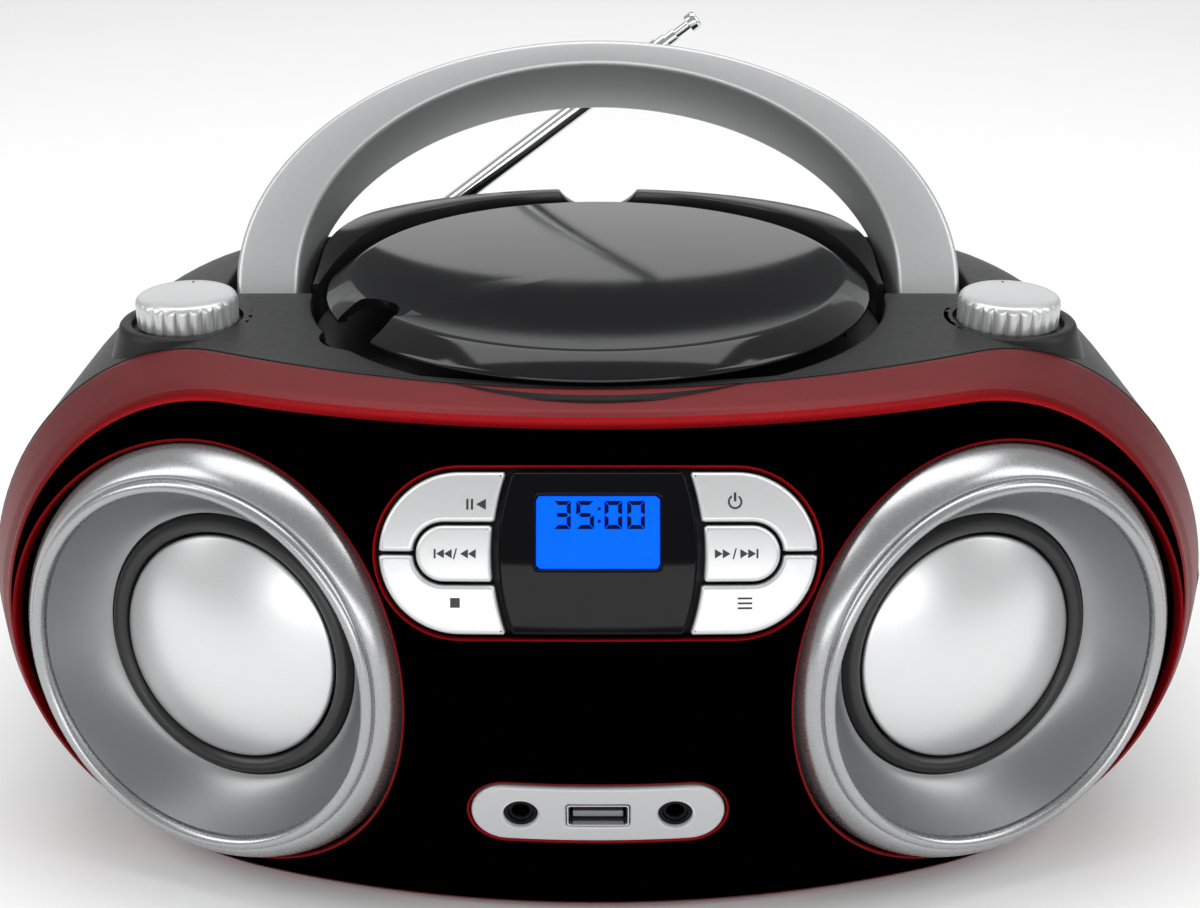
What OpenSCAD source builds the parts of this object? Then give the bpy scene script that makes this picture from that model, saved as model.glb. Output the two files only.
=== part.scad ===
/* [Body] */
// Half of the widest width of the cabinet
half_w = 141; // [135:1:145]
// Height of the deck above the table
deck_z = 115; // [112:1:117]
// Rear face of the cabinet behind the origin
rear_y = 98; // [94:1:104]
// Thickness of the moulded walls
wall = 2.5; // [2:0.1:3]
// Height of the joint between the top shell and the rear shell
split_z = 58; // [50:1:64]

/* [Front face] */
// Plan radius of the barrel-shaped face
plan_r = 240; // [220:5:260]
// Radius of the face's upright arc
arc_r = 106; // [100:1:112]
// Height of the most forward point of the face
arc_z = 45.5; // [42:0.5:50]
// Foremost point of the face in front of the origin
front_y = -101.5; // [-104:0.5:-99]
// Depth of the red band round the face
band_depth = 9.5; // [8:0.5:11]

/* [Speakers] */
// Angle of each speaker away from straight ahead
speaker_az = 21.6; // [18:0.1:22]
// Height of the speaker centres
speaker_z = 55; // [53:0.5:57]
// Outer radius of the trim rings
ring_r = 48.6; // [46:0.2:48.6]
// Radius of the opening round the rubber surround
cone_r = 31; // [29:0.5:32]

/* [Disc well] */
// Radius of the well in the deck
well_r = 69; // [68:0.5:70]
// Outer radius of the lid
lid_r = 65.5; // [64:0.5:66]
// Height of the lid's top face
lid_z = 121; // [120:0.5:122]
// Floor of the well
floor_z = 106.5; // [105:0.5:107]

/* [Handle] */
// Half of the handle's outer width
handle_w = 90.3; // [89:0.1:91]
// Length of the straight legs above the pivot
leg_len = 14; // [12:0.5:16]
// Rise of the elliptical arch above the legs
arch_rise = 62.5; // [60:0.5:64]
// Thickness of a leg seen from the front
leg_t = 15.6; // [14:0.2:16]
// Thickness of the grip seen from the front
grip_t = 7.3; // [6:0.1:8]
// Lean of the handle back from upright
handle_lean = 36.3; // [30:0.1:40]

/* [Antenna] */
// Lean of the collapsed antenna above level
antenna_tilt = 37; // [20:1:60]
// Outer radius of the largest antenna tube
tube_r = 2.75; // [2.5:0.05:3]

/* [Hidden] */
$fn = 72;

// gap between two shells of one body, and between a moving piece and its neighbour
joint_gap = 0.2;
move_gap = 0.4;
// radial clearance of a shaft in its bore
fit = 0.05;

// centre of the plan arc and of the upright arc
face_cy = front_y + plan_r;
arc_offset = plan_r - arc_r;
// the front outline is a stadium: this is the radius of its round ends at the back of the band
end_r = (deck_z - 0.4) / 2;
end_x = half_w - end_r;
end_z = deck_z - end_r;
// how much the outline shrinks from the back of the band to the face
face_shrink = 1.6;
face_step_x = 4;
// roundness of the plan's rear half
plan_power = 3;
// lid and well centre
lid_y = -2;
// button cluster: elevation on the upright arc, half width and end radius
cluster_el = 24;
cluster_w = 44.8;
cluster_r = 16.5;
window_r = 50.6;
window_half = 20.2;
// socket plate
io_el = asin((31 - arc_z) / arc_r);
io_half = 26.8;
io_r = 7.3;
jack_x = 16.35;
// knobs
knob_x = 95.4;
knob_y = -22.8;
knob_r = 11.7;
knob_z = 121.4;
boss_z = 113.4;
boss_rim = 115;
shaft_r = 3;
// handle pivot
pivot_y = 8;
pivot_z = 98;
foot_half = 8.65;
grip_half = 14.1;
// arch of the tower that stands inside the folded handle
tower_half = 70.5;
tower_rise = 49.5;
// antenna
mast = [-75, 92, 87];
// lid hinge
hinge_y = 61.5;
hinge_z = 113.5;
// lead screw
screw_y = 19;
mech_z = 99;

// radius of the lower rear edge
low_r = 16;
// ledge at the back that the folded antenna lies over
ledge_y = 88.2;
ledge_z = 81;
// screws that hold the two shells together, in plan
screw_places = [[-112, -10], [112, -10], [-104, 44], [104, 44]];
// rubber feet, in plan
foot_places = [[-60, -58], [60, -58], [-60, 58], [60, 58], [0, 0]];
// battery bay and its door
bay_x = 73.5;
bay_y = 40;
bay_z = [6, 44];
door_x = 73;
door_z = [10, 41];
// line that the battery door turns about: distance back and height
door_hinge = [95.2, 10.4];
// mains inlet
inlet = [97, 80, 24];

speaker_el = asin((speaker_z - arc_z) / arc_r);

function super_x(a, n, t) = a * sign(cos(t)) * pow(abs(cos(t)), 2 / n);
function super_y(b, n, t) = b * sign(sin(t)) * pow(abs(sin(t)), 2 / n);

// solid behind the face, with its surface moved outwards by d
module barrel(d) {
    arc = [for (a = [-70:5:70]) [arc_offset + (arc_r + d) * cos(a), arc_z + (arc_r + d) * sin(a)]];
    translate([0, face_cy, 0])
        rotate_extrude($fn = 144)
            polygon(concat([[0, arc[0][1]]], arc, [[0, arc[len(arc) - 1][1]]]));
}

// layer of the face between two offsets
module face_layer(inner, outer) {
    difference() {
        barrel(outer);
        barrel(inner);
    }
}

// children on the face: +Z outwards, +X along the face, +Y up it
module on_face(az, el) {
    translate([0, face_cy, 0])
        rotate([0, 0, az])
            translate([0, -arc_offset, arc_z])
                rotate([90 - el, 0, 0])
                    translate([0, 0, arc_r])
                        children();
}

module on_speaker(side) {
    on_face(side * speaker_az, speaker_el) children();
}

// room that both speakers and their rings need, grown by g
module speaker_room(g, depth) {
    for (side = [-1, 1])
        on_speaker(side)
            translate([0, 0, -depth])
                cylinder(r = ring_r + g, h = depth + 20);
}

// prism with a stadium section along Y
module stadium_prism(r, cx, y0, y1) {
    for (side = [-1, 1])
        translate([side * cx, y0, end_z])
            rotate([-90, 0, 0])
                cylinder(r = r, h = y1 - y0, $fn = 96);
    translate([-cx, y0, end_z - r])
        cube([2 * cx, y1 - y0, 2 * r]);
}

// plan of the cabinet, moved inwards by inset
module plan(inset) {
    a = half_w - inset;
    b = rear_y - inset;
    polygon(concat([for (t = [0:4:180]) [super_x(a, plan_power, t), super_y(b, plan_power, t)]],
        [[-a, -150], [a, -150]]));
}

// stadium lying along X, for prisms on the face
module stadium(half, r) {
    translate([-(half - r), -r])
        square([2 * (half - r), 2 * r]);
    for (side = [-1, 1])
        translate([side * (half - r), 0])
            circle(r);
}

// side profile of the cabinet behind the band: rounded at the lower rear and sloping at the upper rear
module side_profile(inset) {
    polygon(concat([[-150, 0.4 + inset]],
        [for (a = [-90:10:0]) [rear_y - low_r + (low_r - inset) * cos(a), low_r + 0.4 + (low_r - inset) * sin(a)]],
        [[rear_y - inset, 84], [rear_y - 4 - inset, 92 - inset], [76, 103 - inset], [52, deck_z + 1 - inset],
        [-150, deck_z + 1 - inset]]));
}

module cabinet(inset, front) {
    intersection() {
        barrel(-front);
        stadium_prism(end_r - inset, end_x, -150, 150);
        translate([0, 0, -10])
            linear_extrude(140)
                plan(inset);
        translate([-160, 0, 0])
            rotate([90, 0, 90])
                linear_extrude(320)
                    side_profile(inset);
    }
}

// ---- shells ----

// one layer of the front shell, d deep in the face
module shell_layer(d0, d1, shrink) {
    intersection() {
        face_layer(-d1, -d0);
        difference() {
            stadium_prism(end_r - shrink * face_shrink, end_x - shrink * face_step_x, -130, 0);
            stadium_prism(end_r - wall - face_shrink, end_x - face_step_x, -131, 1);
        }
    }
}

module front_shell() {
    color([0.55, 0.04, 0.08])
    difference() {
        union() {
            intersection() {
                face_layer(-wall, 0);
                stadium_prism(end_r - face_shrink, end_x - face_step_x, -130, 0);
            }
            shell_layer(0.5, 4, 1);
            shell_layer(4, 7, 0.5);
            shell_layer(7, band_depth, 0);
        }
        speaker_room(0.3, 40);
        on_face(0, cluster_el)
            translate([0, 0, -20])
                linear_extrude(30)
                    stadium(cluster_w + 0.6, cluster_r + 0.6);
        on_face(0, io_el)
            translate([0, 0, -20])
                linear_extrude(30)
                    stadium(io_half + 0.2, io_r + 0.2);
    }
}

// channel that the handle folds into, in plan: everything between its outer wall and the tower
module handle_track(grow) {
    difference() {
        arch_2d(handle_w + grow, arch_rise + grow);
        arch_2d(tower_half, tower_rise);
    }
}

// arch outline with its pivot line on the X axis
module arch_2d(half, rise) {
    polygon(concat([[half, -12]],
        [for (t = [0:5:180]) [half * cos(t), leg_len + rise * sin(t)]],
        [[-half, -12]]));
}

module scoop(r) {
    rotate([0, 0, 212])
        translate([63, 0, 0])
            cylinder(r = r, h = 30);
}

module top_shell() {
    color([0.13, 0.13, 0.14])
    difference() {
        union() {
            intersection() {
                difference() {
                    cabinet(0, band_depth + joint_gap);
                    cabinet(wall, band_depth + joint_gap - 1);
                }
                translate([-160, -150, split_z])
                    cube([320, 300, 100]);
            }
            // tower round the back of the disc well, inside the folded handle
            intersection() {
                translate([0, pivot_y, 80])
                    linear_extrude(lid_z - 80)
                        arch_2d(tower_half, tower_rise);
                translate([-160, 0, 0])
                    rotate([90, 0, 90])
                        linear_extrude(320)
                            polygon([[-4, 80], [-4, deck_z], [4, deck_z], [44, lid_z], [100, lid_z], [100, 80]]);
            }
            // wall of the disc well
            intersection() {
                cabinet(0.3, band_depth + 2);
                translate([0, lid_y, 98])
                    cylinder(r = well_r + wall, h = deck_z - 98 - 0.5);
            }
            // floor and outer wall of the handle's channel
            intersection() {
                translate([0, pivot_y, 80.4])
                    linear_extrude(deck_z - 81)
                        arch_2d(handle_w + 4, arch_rise + 4);
                cabinet(0.5, band_depth + 2);
            }
            // ledge for the folded antenna, with the boss of its swivel
            intersection() {
                cabinet(0.3, band_depth + 2);
                translate([-150, 83, ledge_z - 2.5])
                    cube([300, 30, 30]);
            }
            translate([mast[0], mast[1] - 0.5, ledge_z - 11])
                cylinder(r = 5.8, h = 11);
            // posts that take the case screws
            intersection() {
                cabinet(0.3, band_depth + 2);
                for (p = screw_places)
                    translate([p[0], p[1], split_z])
                        cylinder(r = 4.6, h = deck_z - split_z);
            }
            // bosses that carry the knobs
            for (side = [-1, 1])
                translate([side * knob_x, knob_y, 104]) {
                    cylinder(r1 = 19, r2 = 15.5, h = boss_rim - 104);
                    translate([0, 0, -8])
                        cylinder(r = 7, h = 9);
                }
        }
        // disc well, with a ledge that carries the tray and two lugs that hold the hinge pins
        difference() {
            union() {
                translate([0, lid_y, floor_z - 2.5])
                    cylinder(r = well_r, h = 60);
                translate([0, lid_y, 80])
                    cylinder(r = well_r - wall, h = 60);
            }
            for (side = [-1, 1])
                translate([side * 22 - 2, hinge_y - 3.5, floor_z])
                    cube([4, 12, hinge_z - floor_z + 1.7]);
        }
        // pockets for the lid's hinge arms and bores for its pins
        for (side = [-1, 1]) {
            translate([side * 27.5 - 3.5, hinge_y - 12, floor_z + 1.5])
                cube([7, 16.3, 40]);
            translate([side * 27.5 - 8, hinge_y, hinge_z])
                rotate([0, 90, 0])
                    cylinder(r = 1.5 + fit, h = 16, $fn = 32);
        }
        // the handle's channel, deeper at the back where the grip is wide
        translate([0, pivot_y, pivot_z - foot_half - 1.6])
            linear_extrude(60)
                handle_track(1.3);
        translate([0, pivot_y, pivot_z - grip_half - 0.8])
            linear_extrude(60)
                intersection() {
                    handle_track(1.3);
                    translate([-100, 22])
                        square([200, 80]);
                }
        // pivot bores through both walls of each slot
        for (side = [-1, 1])
            translate([side * 66, pivot_y, pivot_z])
                rotate([0, side * 90, 0])
                    cylinder(r = 3 + fit, h = 34);
        // finger notch in the tower's rim
        translate([0, 60, lid_z + 7.2])
            rotate([-90, 0, 0])
                cylinder(r = 12.6, h = 26);
        // finger scoop at the lid's edge
        translate([0, lid_y, floor_z + 2])
            scoop(9.6);
        // room for the antenna and its swivel
        translate([-160, ledge_y, ledge_z])
            cube([320, 40, 60]);
        translate([mast[0], mast[1], ledge_z])
            cylinder(r = 6.6, h = 60);
        translate([mast[0], mast[1], ledge_z - 9])
            cylinder(r = 4 + fit, h = 20);
        for (p = screw_places)
            translate([p[0], p[1], split_z - 1])
                cylinder(r = 1.6, h = 8);
        // knob shafts
        for (side = [-1, 1])
            translate([side * knob_x, knob_y, 90])
                cylinder(r = shaft_r + fit, h = 40);
        // recesses round the knobs
        for (side = [-1, 1])
            translate([side * knob_x, knob_y, boss_z])
                cylinder(r = knob_r + 0.8, h = 20);
        speaker_room(0.3, 46);
    }
}

module rear_shell() {
    color([0.11, 0.11, 0.12])
    difference() {
        union() {
            intersection() {
                difference() {
                    cabinet(0, band_depth + joint_gap);
                    cabinet(wall, band_depth + joint_gap - 1);
                }
                translate([-160, -150, -10])
                    cube([320, 300, 10 + split_z - joint_gap]);
            }
            // skin over the bay, which the door's opening is cut in
            intersection() {
                difference() {
                    cabinet(0, band_depth + 2);
                    cabinet(3.6, band_depth);
                }
                translate([-bay_x, 60, bay_z[0]])
                    cube([2 * bay_x, 60, bay_z[1] - bay_z[0]]);
            }
            // screw posts
            intersection() {
                cabinet(0.3, band_depth + 2);
                for (p = screw_places)
                    translate([p[0], p[1], 0])
                        cylinder(r = 4.6, h = split_z - joint_gap);
            }
            for (p = foot_places)
                translate([p[0], p[1], 0.4])
                    cylinder(r = 6.5, h = 3);
        }
        // opening of the battery bay in the back, and the rebate that its door sits in
        translate([-door_x + 3, 70, door_z[0] + 3])
            cube([2 * (door_x - 3), 60, door_z[1] - door_z[0] - 6]);
        door_sheet(move_gap, 2.2);
        door_barrel(2.1, door_x + move_gap);
        for (p = screw_places)
            translate([p[0], p[1], -1]) {
                cylinder(r = 1.6, h = split_z + 2);
                cylinder(r = 3.3, h = 19);
            }
        // feet pockets
        for (p = foot_places)
            translate([p[0], p[1], -1])
                cylinder(r = 5, h = 2.8);
        // mains inlet
        translate([inlet[0] - 11.2, inlet[1] - 22, inlet[2] - 7.2])
            cube([22.4, 60, 14.4]);
        speaker_room(0.3, 46);
    }
}

module battery_box() {
    color([0.11, 0.11, 0.12])
    intersection() {
        cabinet(3.7, band_depth + 2);
        difference() {
            translate([-bay_x - 2, bay_y - 2, bay_z[0] - 2])
                cube([2 * bay_x + 4, 80, bay_z[1] - bay_z[0] + 4]);
            translate([-bay_x, bay_y, bay_z[0]])
                cube([2 * bay_x, 80, bay_z[1] - bay_z[0]]);
        }
    }
}

// round bar along the battery door's hinge line
module door_barrel(r, half) {
    translate([-half, door_hinge[0], door_hinge[1]])
        rotate([0, 90, 0])
            cylinder(r = r, h = 2 * half, $fn = 32);
}

// sheet that follows the back of the cabinet where the battery door is, grown by g
module door_sheet(g, depth) {
    intersection() {
        translate([-door_x - g, 60, door_z[0] - g])
            cube([2 * (door_x + g), 80, door_z[1] - door_z[0] + 2 * g]);
        difference() {
            cabinet(g > 0 ? -1 : 0, band_depth);
            cabinet(depth, band_depth - 1);
        }
    }
}

module battery_door() {
    color([0.12, 0.12, 0.13])
    difference() {
        union() {
            door_sheet(0, 1.8);
            door_barrel(1, 30);
        }
        // thumb grip
        for (z = [31:2.4:37])
            translate([-14, rear_y - 0.6, z])
                cube([28, 3, 1.2]);
    }
}

module rubber_feet() {
    color([0.06, 0.06, 0.06])
    for (p = foot_places)
        translate([p[0], p[1], 0])
            cylinder(r1 = 4.4, r2 = 4.9, h = 1.8);
}

module case_screws() {
    color([0.6, 0.6, 0.62])
    for (p = screw_places)
        translate([p[0], p[1], 0])
            difference() {
                union() {
                    translate([0, 0, 18])
                        cylinder(r = 1.55, h = split_z - 12);
                    translate([0, 0, 15.8])
                        cylinder(r = 3, h = 2.2);
                }
                for (a = [0, 90])
                    rotate([0, 0, a])
                        translate([-2, -0.35, 15])
                            cube([4, 0.7, 2]);
            }
}

// ---- speakers ----

module trim_ring(side) {
    color([0.75, 0.76, 0.77])
    on_speaker(side)
        rotate_extrude($fn = 96)
            polygon(concat([[ring_r - 2, -22], [ring_r, -22], [ring_r, -14], [ring_r - 1.6, -7],
                [ring_r - 4.8, -3.6]],
                [for (a = [45:15:150]) [41.6 + 1.4 * cos(a), -4 + 1.4 * sin(a)]],
                [for (u = [0.1:0.15:1]) [40.4 - 9 * u, -4.6 - 12.4 * (1 - pow(1 - u, 1.6))]],
                [[cone_r + 0.3, -17.5], [cone_r + 0.3, -19.5], [cone_r + 2, -19.5],
                [37, -15.5], [41.5, -8.5], [45.5, -9.5], [46.4, -15]]));
}

module surround(side) {
    color([0.07, 0.07, 0.07])
    on_speaker(side)
        rotate_extrude($fn = 96)
            difference() {
                union() {
                    translate([28.9, -17.6])
                        circle(2.1, $fn = 32);
                    translate([26.8, -19.5])
                        square([cone_r - 26.8, 1.9]);
                }
                translate([20, -30])
                    square([20, 10.6]);
            }
}

module cone(side) {
    dome_r = 26.4;
    dome_h = 5.2;
    cap_r = (dome_r * dome_r + dome_h * dome_h) / (2 * dome_h);
    color([0.85, 0.86, 0.87])
    on_speaker(side) {
        difference() {
            intersection() {
                translate([0, 0, -16.4 + dome_h - cap_r])
                    sphere(cap_r, $fn = 96);
                translate([0, 0, -18])
                    cylinder(r = dome_r, h = 20);
            }
            translate([0, 0, -17.2 + dome_h - cap_r])
                sphere(cap_r - 1, $fn = 96);
            translate([0, 0, -30])
                cylinder(r = dome_r - 1, h = 13.2);
        }
        // cone and voice coil
        translate([0, 0, -32])
            rotate_extrude($fn = 72)
                polygon([[25.4, 15.6], [26.3, 15.6], [9, 0], [9, -6], [8, -6], [8, 0.6]]);
    }
}

module basket(side) {
    color([0.3, 0.3, 0.32])
    on_speaker(side)
        difference() {
            rotate_extrude($fn = 72)
                polygon([[cone_r - 4.2, -20], [cone_r + 5, -20], [cone_r + 5, -22], [cone_r, -22], [17, -36],
                    [17, -38], [10, -38], [10, -36.4], [14, -36.4], [cone_r - 4.2, -22.6]]);
            for (a = [45:90:315])
                rotate([0, 0, a])
                    translate([20, -5, -35])
                        cube([8, 10, 12]);
            for (a = [0:90:270])
                rotate([0, 0, a])
                    translate([cone_r + 2.4, 0, -25])
                        cylinder(r = 1.5, h = 10);
        }
}

module magnet(side) {
    color([0.2, 0.2, 0.21])
    on_speaker(side)
        difference() {
            translate([0, 0, -52])
                cylinder(r = 20, h = 14);
            difference() {
                translate([0, 0, -46])
                    cylinder(r = 9.6, h = 10);
                translate([0, 0, -47])
                    cylinder(r = 7.4, h = 12);
            }
        }
}

// ---- display and buttons ----

// convex-sided window outline, grown by g
module window_2d(g) {
    intersection() {
        square([60, 2 * (cluster_r + g)], center = true);
        translate([window_half - window_r, 0])
            circle(window_r + g, $fn = 144);
        translate([window_r - window_half, 0])
            circle(window_r + g, $fn = 144);
    }
}

// outline of a middle button on the right, grown by g
module middle_2d(g) {
    translate([31.4, 0])
        circle(5.7 + g);
    translate([22.4 - g, -5.7 - g])
        square([9 + g, 11.4 + 2 * g]);
}

// right half of the button cluster outside the window
module side_field_2d() {
    difference() {
        stadium(cluster_w, cluster_r);
        window_2d(0.7);
        translate([-100, -50])
            square([100, 100]);
    }
}

module outer_button_2d(up) {
    difference() {
        side_field_2d();
        middle_2d(0.7);
        translate([0, -6.4])
            square([31.4, 12.8]);
        translate([0, up > 0 ? -50 : -0.35])
            square([60, 50.35]);
    }
}

module button(height) {
    difference() {
        intersection() {
            face_layer(-4, height);
            on_face(0, cluster_el)
                translate([0, 0, -14])
                    linear_extrude(24)
                        children();
        }
        speaker_room(0.4, 40);
    }
}

module play_button() {
    color([0.86, 0.87, 0.88])
    button(1.2)
        mirror([1, 0])
            outer_button_2d(1);
}

module back_button() {
    color([0.86, 0.87, 0.88])
    button(1.5)
        mirror([1, 0])
            middle_2d(0);
}

module stop_button() {
    color([0.86, 0.87, 0.88])
    button(1.2)
        mirror([1, 0])
            outer_button_2d(-1);
}

module power_button() {
    color([0.86, 0.87, 0.88])
    button(1.2)
        outer_button_2d(1);
}

module next_button() {
    color([0.86, 0.87, 0.88])
    button(1.5)
        middle_2d(0);
}

module mode_button() {
    color([0.86, 0.87, 0.88])
    button(1.2)
        outer_button_2d(-1);
}

module lcd_2d() {
    translate([-12.7, -3.2])
        square([25.4, 15]);
}

module display_window() {
    color([0.02, 0.02, 0.03])
    intersection() {
        face_layer(-3, 0.6);
        on_face(0, cluster_el)
            translate([0, 0, -14])
                linear_extrude(24)
                    difference() {
                        window_2d(0);
                        lcd_2d();
                    }
    }
}

module lcd_panel() {
    color([0.05, 0.35, 1])
    intersection() {
        face_layer(-3, 0.3);
        on_face(0, cluster_el)
            translate([0, 0, -14])
                linear_extrude(24)
                    translate([0.1, 0.1])
                        translate([-12.7, -3.2])
                            square([25.2, 14.8]);
    }
}

module button_tray() {
    color([0.04, 0.04, 0.04])
    difference() {
        intersection() {
            face_layer(-7.4, -5.8);
            on_face(0, cluster_el)
                translate([0, 0, -18])
                    linear_extrude(30)
                        stadium(cluster_w + 3, cluster_r + 3);
        }
        speaker_room(0.4, 40);
    }
}

module control_board() {
    color([0.1, 0.35, 0.15])
    difference() {
        on_face(0, cluster_el) {
            translate([-36, -15, -15.6])
                cube([72, 30, 1.6]);
            for (x = [-32, 32])
                for (y = [-8, 0, 9])
                    translate([x - 3, y - 3, -14])
                        cube([6, 6, 1.6]);
        }
        speaker_room(0.5, 40);
    }
}

// ---- sockets ----

module io_plate() {
    color([0.72, 0.73, 0.75])
    difference() {
        intersection() {
            face_layer(-2.4, 0.5);
            on_face(0, io_el)
                translate([0, 0, -12])
                    linear_extrude(20)
                        stadium(io_half, io_r);
        }
        on_face(0, io_el) {
            for (side = [-1, 1])
                translate([side * jack_x, 0, -12])
                    cylinder(r = 3.7, h = 20);
            translate([-6.7, -3, -12])
                cube([13.4, 6, 20]);
        }
    }
}

module jack(side) {
    color([0.08, 0.08, 0.08])
    on_face(0, io_el)
        translate([side * jack_x, 0, 0])
            difference() {
                union() {
                    translate([0, 0, -6])
                        cylinder(r = 3.6, h = 5.4);
                    translate([-5.5, -5.5, -17])
                        cube([11, 11, 11]);
                }
                translate([0, 0, -15])
                    cylinder(r = 1.8, h = 20);
            }
}

module usb_port() {
    color([0.7, 0.7, 0.72])
    on_face(0, io_el)
        difference() {
            translate([-6.6, -2.9, -16])
                cube([13.2, 5.8, 16.2]);
            translate([-6.25, -2.55, -14])
                cube([12.5, 5.1, 20]);
        }
}

module main_board() {
    color([0.1, 0.35, 0.15])
    translate([-42, -84, 20.6]) {
        cube([84, 110, 1.6]);
        for (x = [12:20:72])
            translate([x, 60, 1.6])
                cylinder(r = 5, h = 14);
        translate([10, 80, 1.6])
            cube([22, 16, 2]);
        translate([44, 84, 1.6])
            cube([30, 8, 18]);
    }
}

// ---- radio controls ----

module rotary_case(side) {
    difference() {
        translate([side * knob_x, knob_y, 0]) {
            translate([0, 0, 84])
                cylinder(r = 9, h = 11.6);
            translate([-8, 6, 88])
                cube([16, 8, 1.6]);
        }
        translate([side * knob_x, knob_y, 86])
            cylinder(r = shaft_r + fit, h = 20);
    }
}

module tuning_capacitor() {
    color([0.8, 0.8, 0.75])
    rotary_case(-1);
}

module volume_pot() {
    color([0.5, 0.5, 0.52])
    rotary_case(1);
}

module knob(side) {
    color([0.8, 0.8, 0.81])
    translate([side * knob_x, knob_y, 0]) {
        difference() {
            union() {
                translate([0, 0, boss_z + move_gap])
                    cylinder(r = knob_r - 0.6, h = knob_z - boss_z - move_gap - 1);
                translate([0, 0, knob_z - 1.2])
                    cylinder(r1 = knob_r - 0.3, r2 = knob_r - 1.2, h = 1.2);
                for (a = [0:15:345])
                    rotate([0, 0, a])
                        translate([knob_r - 1.1, -0.9, boss_z + 0.8])
                            cube([1.1, 1.8, knob_z - boss_z - 2.2]);
            }
            // pointer groove
            translate([-0.5, 4, knob_z - 0.5])
                cube([1, 6, 1]);
        }
        translate([0, 0, 87])
            cylinder(r = shaft_r, h = boss_z - 86);
    }
}

// ---- disc drive ----

module cd_lid() {
    color([0.05, 0.05, 0.06])
    difference() {
        translate([0, lid_y, 0]) {
            rotate_extrude($fn = 120)
                polygon([[0, lid_z], [59.2, lid_z], [60.2, lid_z - 0.5], [lid_r - 0.3, lid_z - 4.1],
                    [lid_r, lid_z - 4.6], [lid_r, lid_z - 5.2], [63.2, lid_z - 5.2], [63.2, lid_z - 4.4],
                    [58.6, lid_z - 2], [0, lid_z - 2]]);
            // ring that carries the clamp
            rotate_extrude()
                polygon([[15, lid_z - 1.5], [17, lid_z - 1.5], [17, 114.4], [13.6, 114.4], [13.6, 115.4],
                    [15, 115.4]]);
        }
        translate([0, lid_y, lid_z - 5.6])
            scoop(8.8);
    }
    // hinge arms
    color([0.05, 0.05, 0.06])
    for (side = [-1, 1])
        difference() {
            union() {
                translate([side * 27.5 - 3, hinge_y - 9, hinge_z])
                    cube([6, 9, 2.7]);
                translate([side * 27.5 - 3, hinge_y, hinge_z])
                    rotate([0, 90, 0])
                        cylinder(r = 2.7, h = 6, $fn = 48);
            }
            translate([side * 27.5 - 4, hinge_y, hinge_z])
                rotate([0, 90, 0])
                    cylinder(r = 1.5 + fit, h = 8, $fn = 32);
        }
}

module lid_hinge_pins() {
    color([0.7, 0.7, 0.72])
    for (side = [-1, 1])
        translate([side * 27.5 - 7.4, hinge_y, hinge_z])
            rotate([0, 90, 0])
                cylinder(r = 1.5, h = 14.8, $fn = 32);
}

module disc_clamp() {
    color([0.2, 0.2, 0.21])
    translate([0, lid_y, 0]) {
        translate([0, 0, 112.9])
            cylinder(r = 13.2, h = 2.2);
        translate([0, 0, 115.1])
            cylinder(r = 12.4, h = 1);
        translate([0, 0, 116.1])
            cylinder(r = 14.5, h = 1.2);
    }
}

module cd_tray() {
    color([0.1, 0.1, 0.11])
    difference() {
        translate([0, lid_y, floor_z - 2.5])
            cylinder(r = well_r - 0.3, h = 2.5);
        translate([0, lid_y, floor_z - 3])
            cylinder(r = 17, h = 10);
        translate([14, lid_y - 10, floor_z - 3])
            cube([46, 20, 10]);
        // notches round the lugs and pockets of the lid's hinge
        for (side = [-1, 1])
            translate([side * 25.5 - 6.5, hinge_y - 13, floor_z - 3])
                cube([13, 30, 10]);
    }
}

module cd_chassis() {
    color([0.35, 0.35, 0.37])
    difference() {
        union() {
            translate([-24, lid_y - 26, 92.4])
                cube([84.4, 50, 2]);
            for (p = [[-20, -22], [-20, 21], [56, -22]])
                translate([p[0], lid_y + p[1], 94.4])
                    cylinder(r = 3, h = floor_z - 2.5 - 94.4);
            // rod and screw bearings
            for (x = [17, 58])
                translate([x, lid_y - 15, 94.4])
                    cube([2.4, 38, 7.5]);
        }
        translate([0, lid_y, 90])
            cylinder(r = 2.5, h = 6);
        translate([20.5, lid_y - 9, 90])
            cube([35, 18, 6]);
        for (y = [-12, 12])
            translate([10, lid_y + y, mech_z])
                rotate([0, 90, 0])
                    cylinder(r = 1.5, h = 62, $fn = 32);
        translate([10, lid_y + screw_y, mech_z])
            rotate([0, 90, 0])
                cylinder(r = 1.6 + fit, h = 62, $fn = 32);
    }
}

module turntable() {
    color([0.15, 0.15, 0.16])
    translate([0, lid_y, 0]) {
        translate([0, 0, 107.6])
            cylinder(r = 14.5, h = 3.2);
        translate([0, 0, 110.8])
            cylinder(r1 = 7.45, r2 = 6.9, h = 1.5);
        translate([0, 0, 86])
            cylinder(r = 1, h = 22);
    }
}

module spindle_motor() {
    color([0.65, 0.65, 0.67])
    difference() {
        translate([0, lid_y, 82])
            cylinder(r = 12, h = 10.2);
        translate([0, lid_y, 85])
            cylinder(r = 1 + fit, h = 10);
    }
}

module laser_sled() {
    color([0.2, 0.2, 0.22])
    difference() {
        union() {
            translate([24, lid_y - 15, mech_z - 3])
                cube([14, 38, 6]);
            translate([26, lid_y - 6, mech_z + 3])
                cube([10, 12, 3]);
            translate([31, lid_y, mech_z + 6])
                cylinder(r = 3, h = 2.5);
        }
        for (y = [-12, 12])
            translate([20, lid_y + y, mech_z])
                rotate([0, 90, 0])
                    cylinder(r = 1.5 + fit, h = 30, $fn = 32);
        translate([20, lid_y + screw_y, mech_z])
            rotate([0, 90, 0])
                cylinder(r = 1.6 + fit, h = 30, $fn = 32);
    }
}

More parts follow.
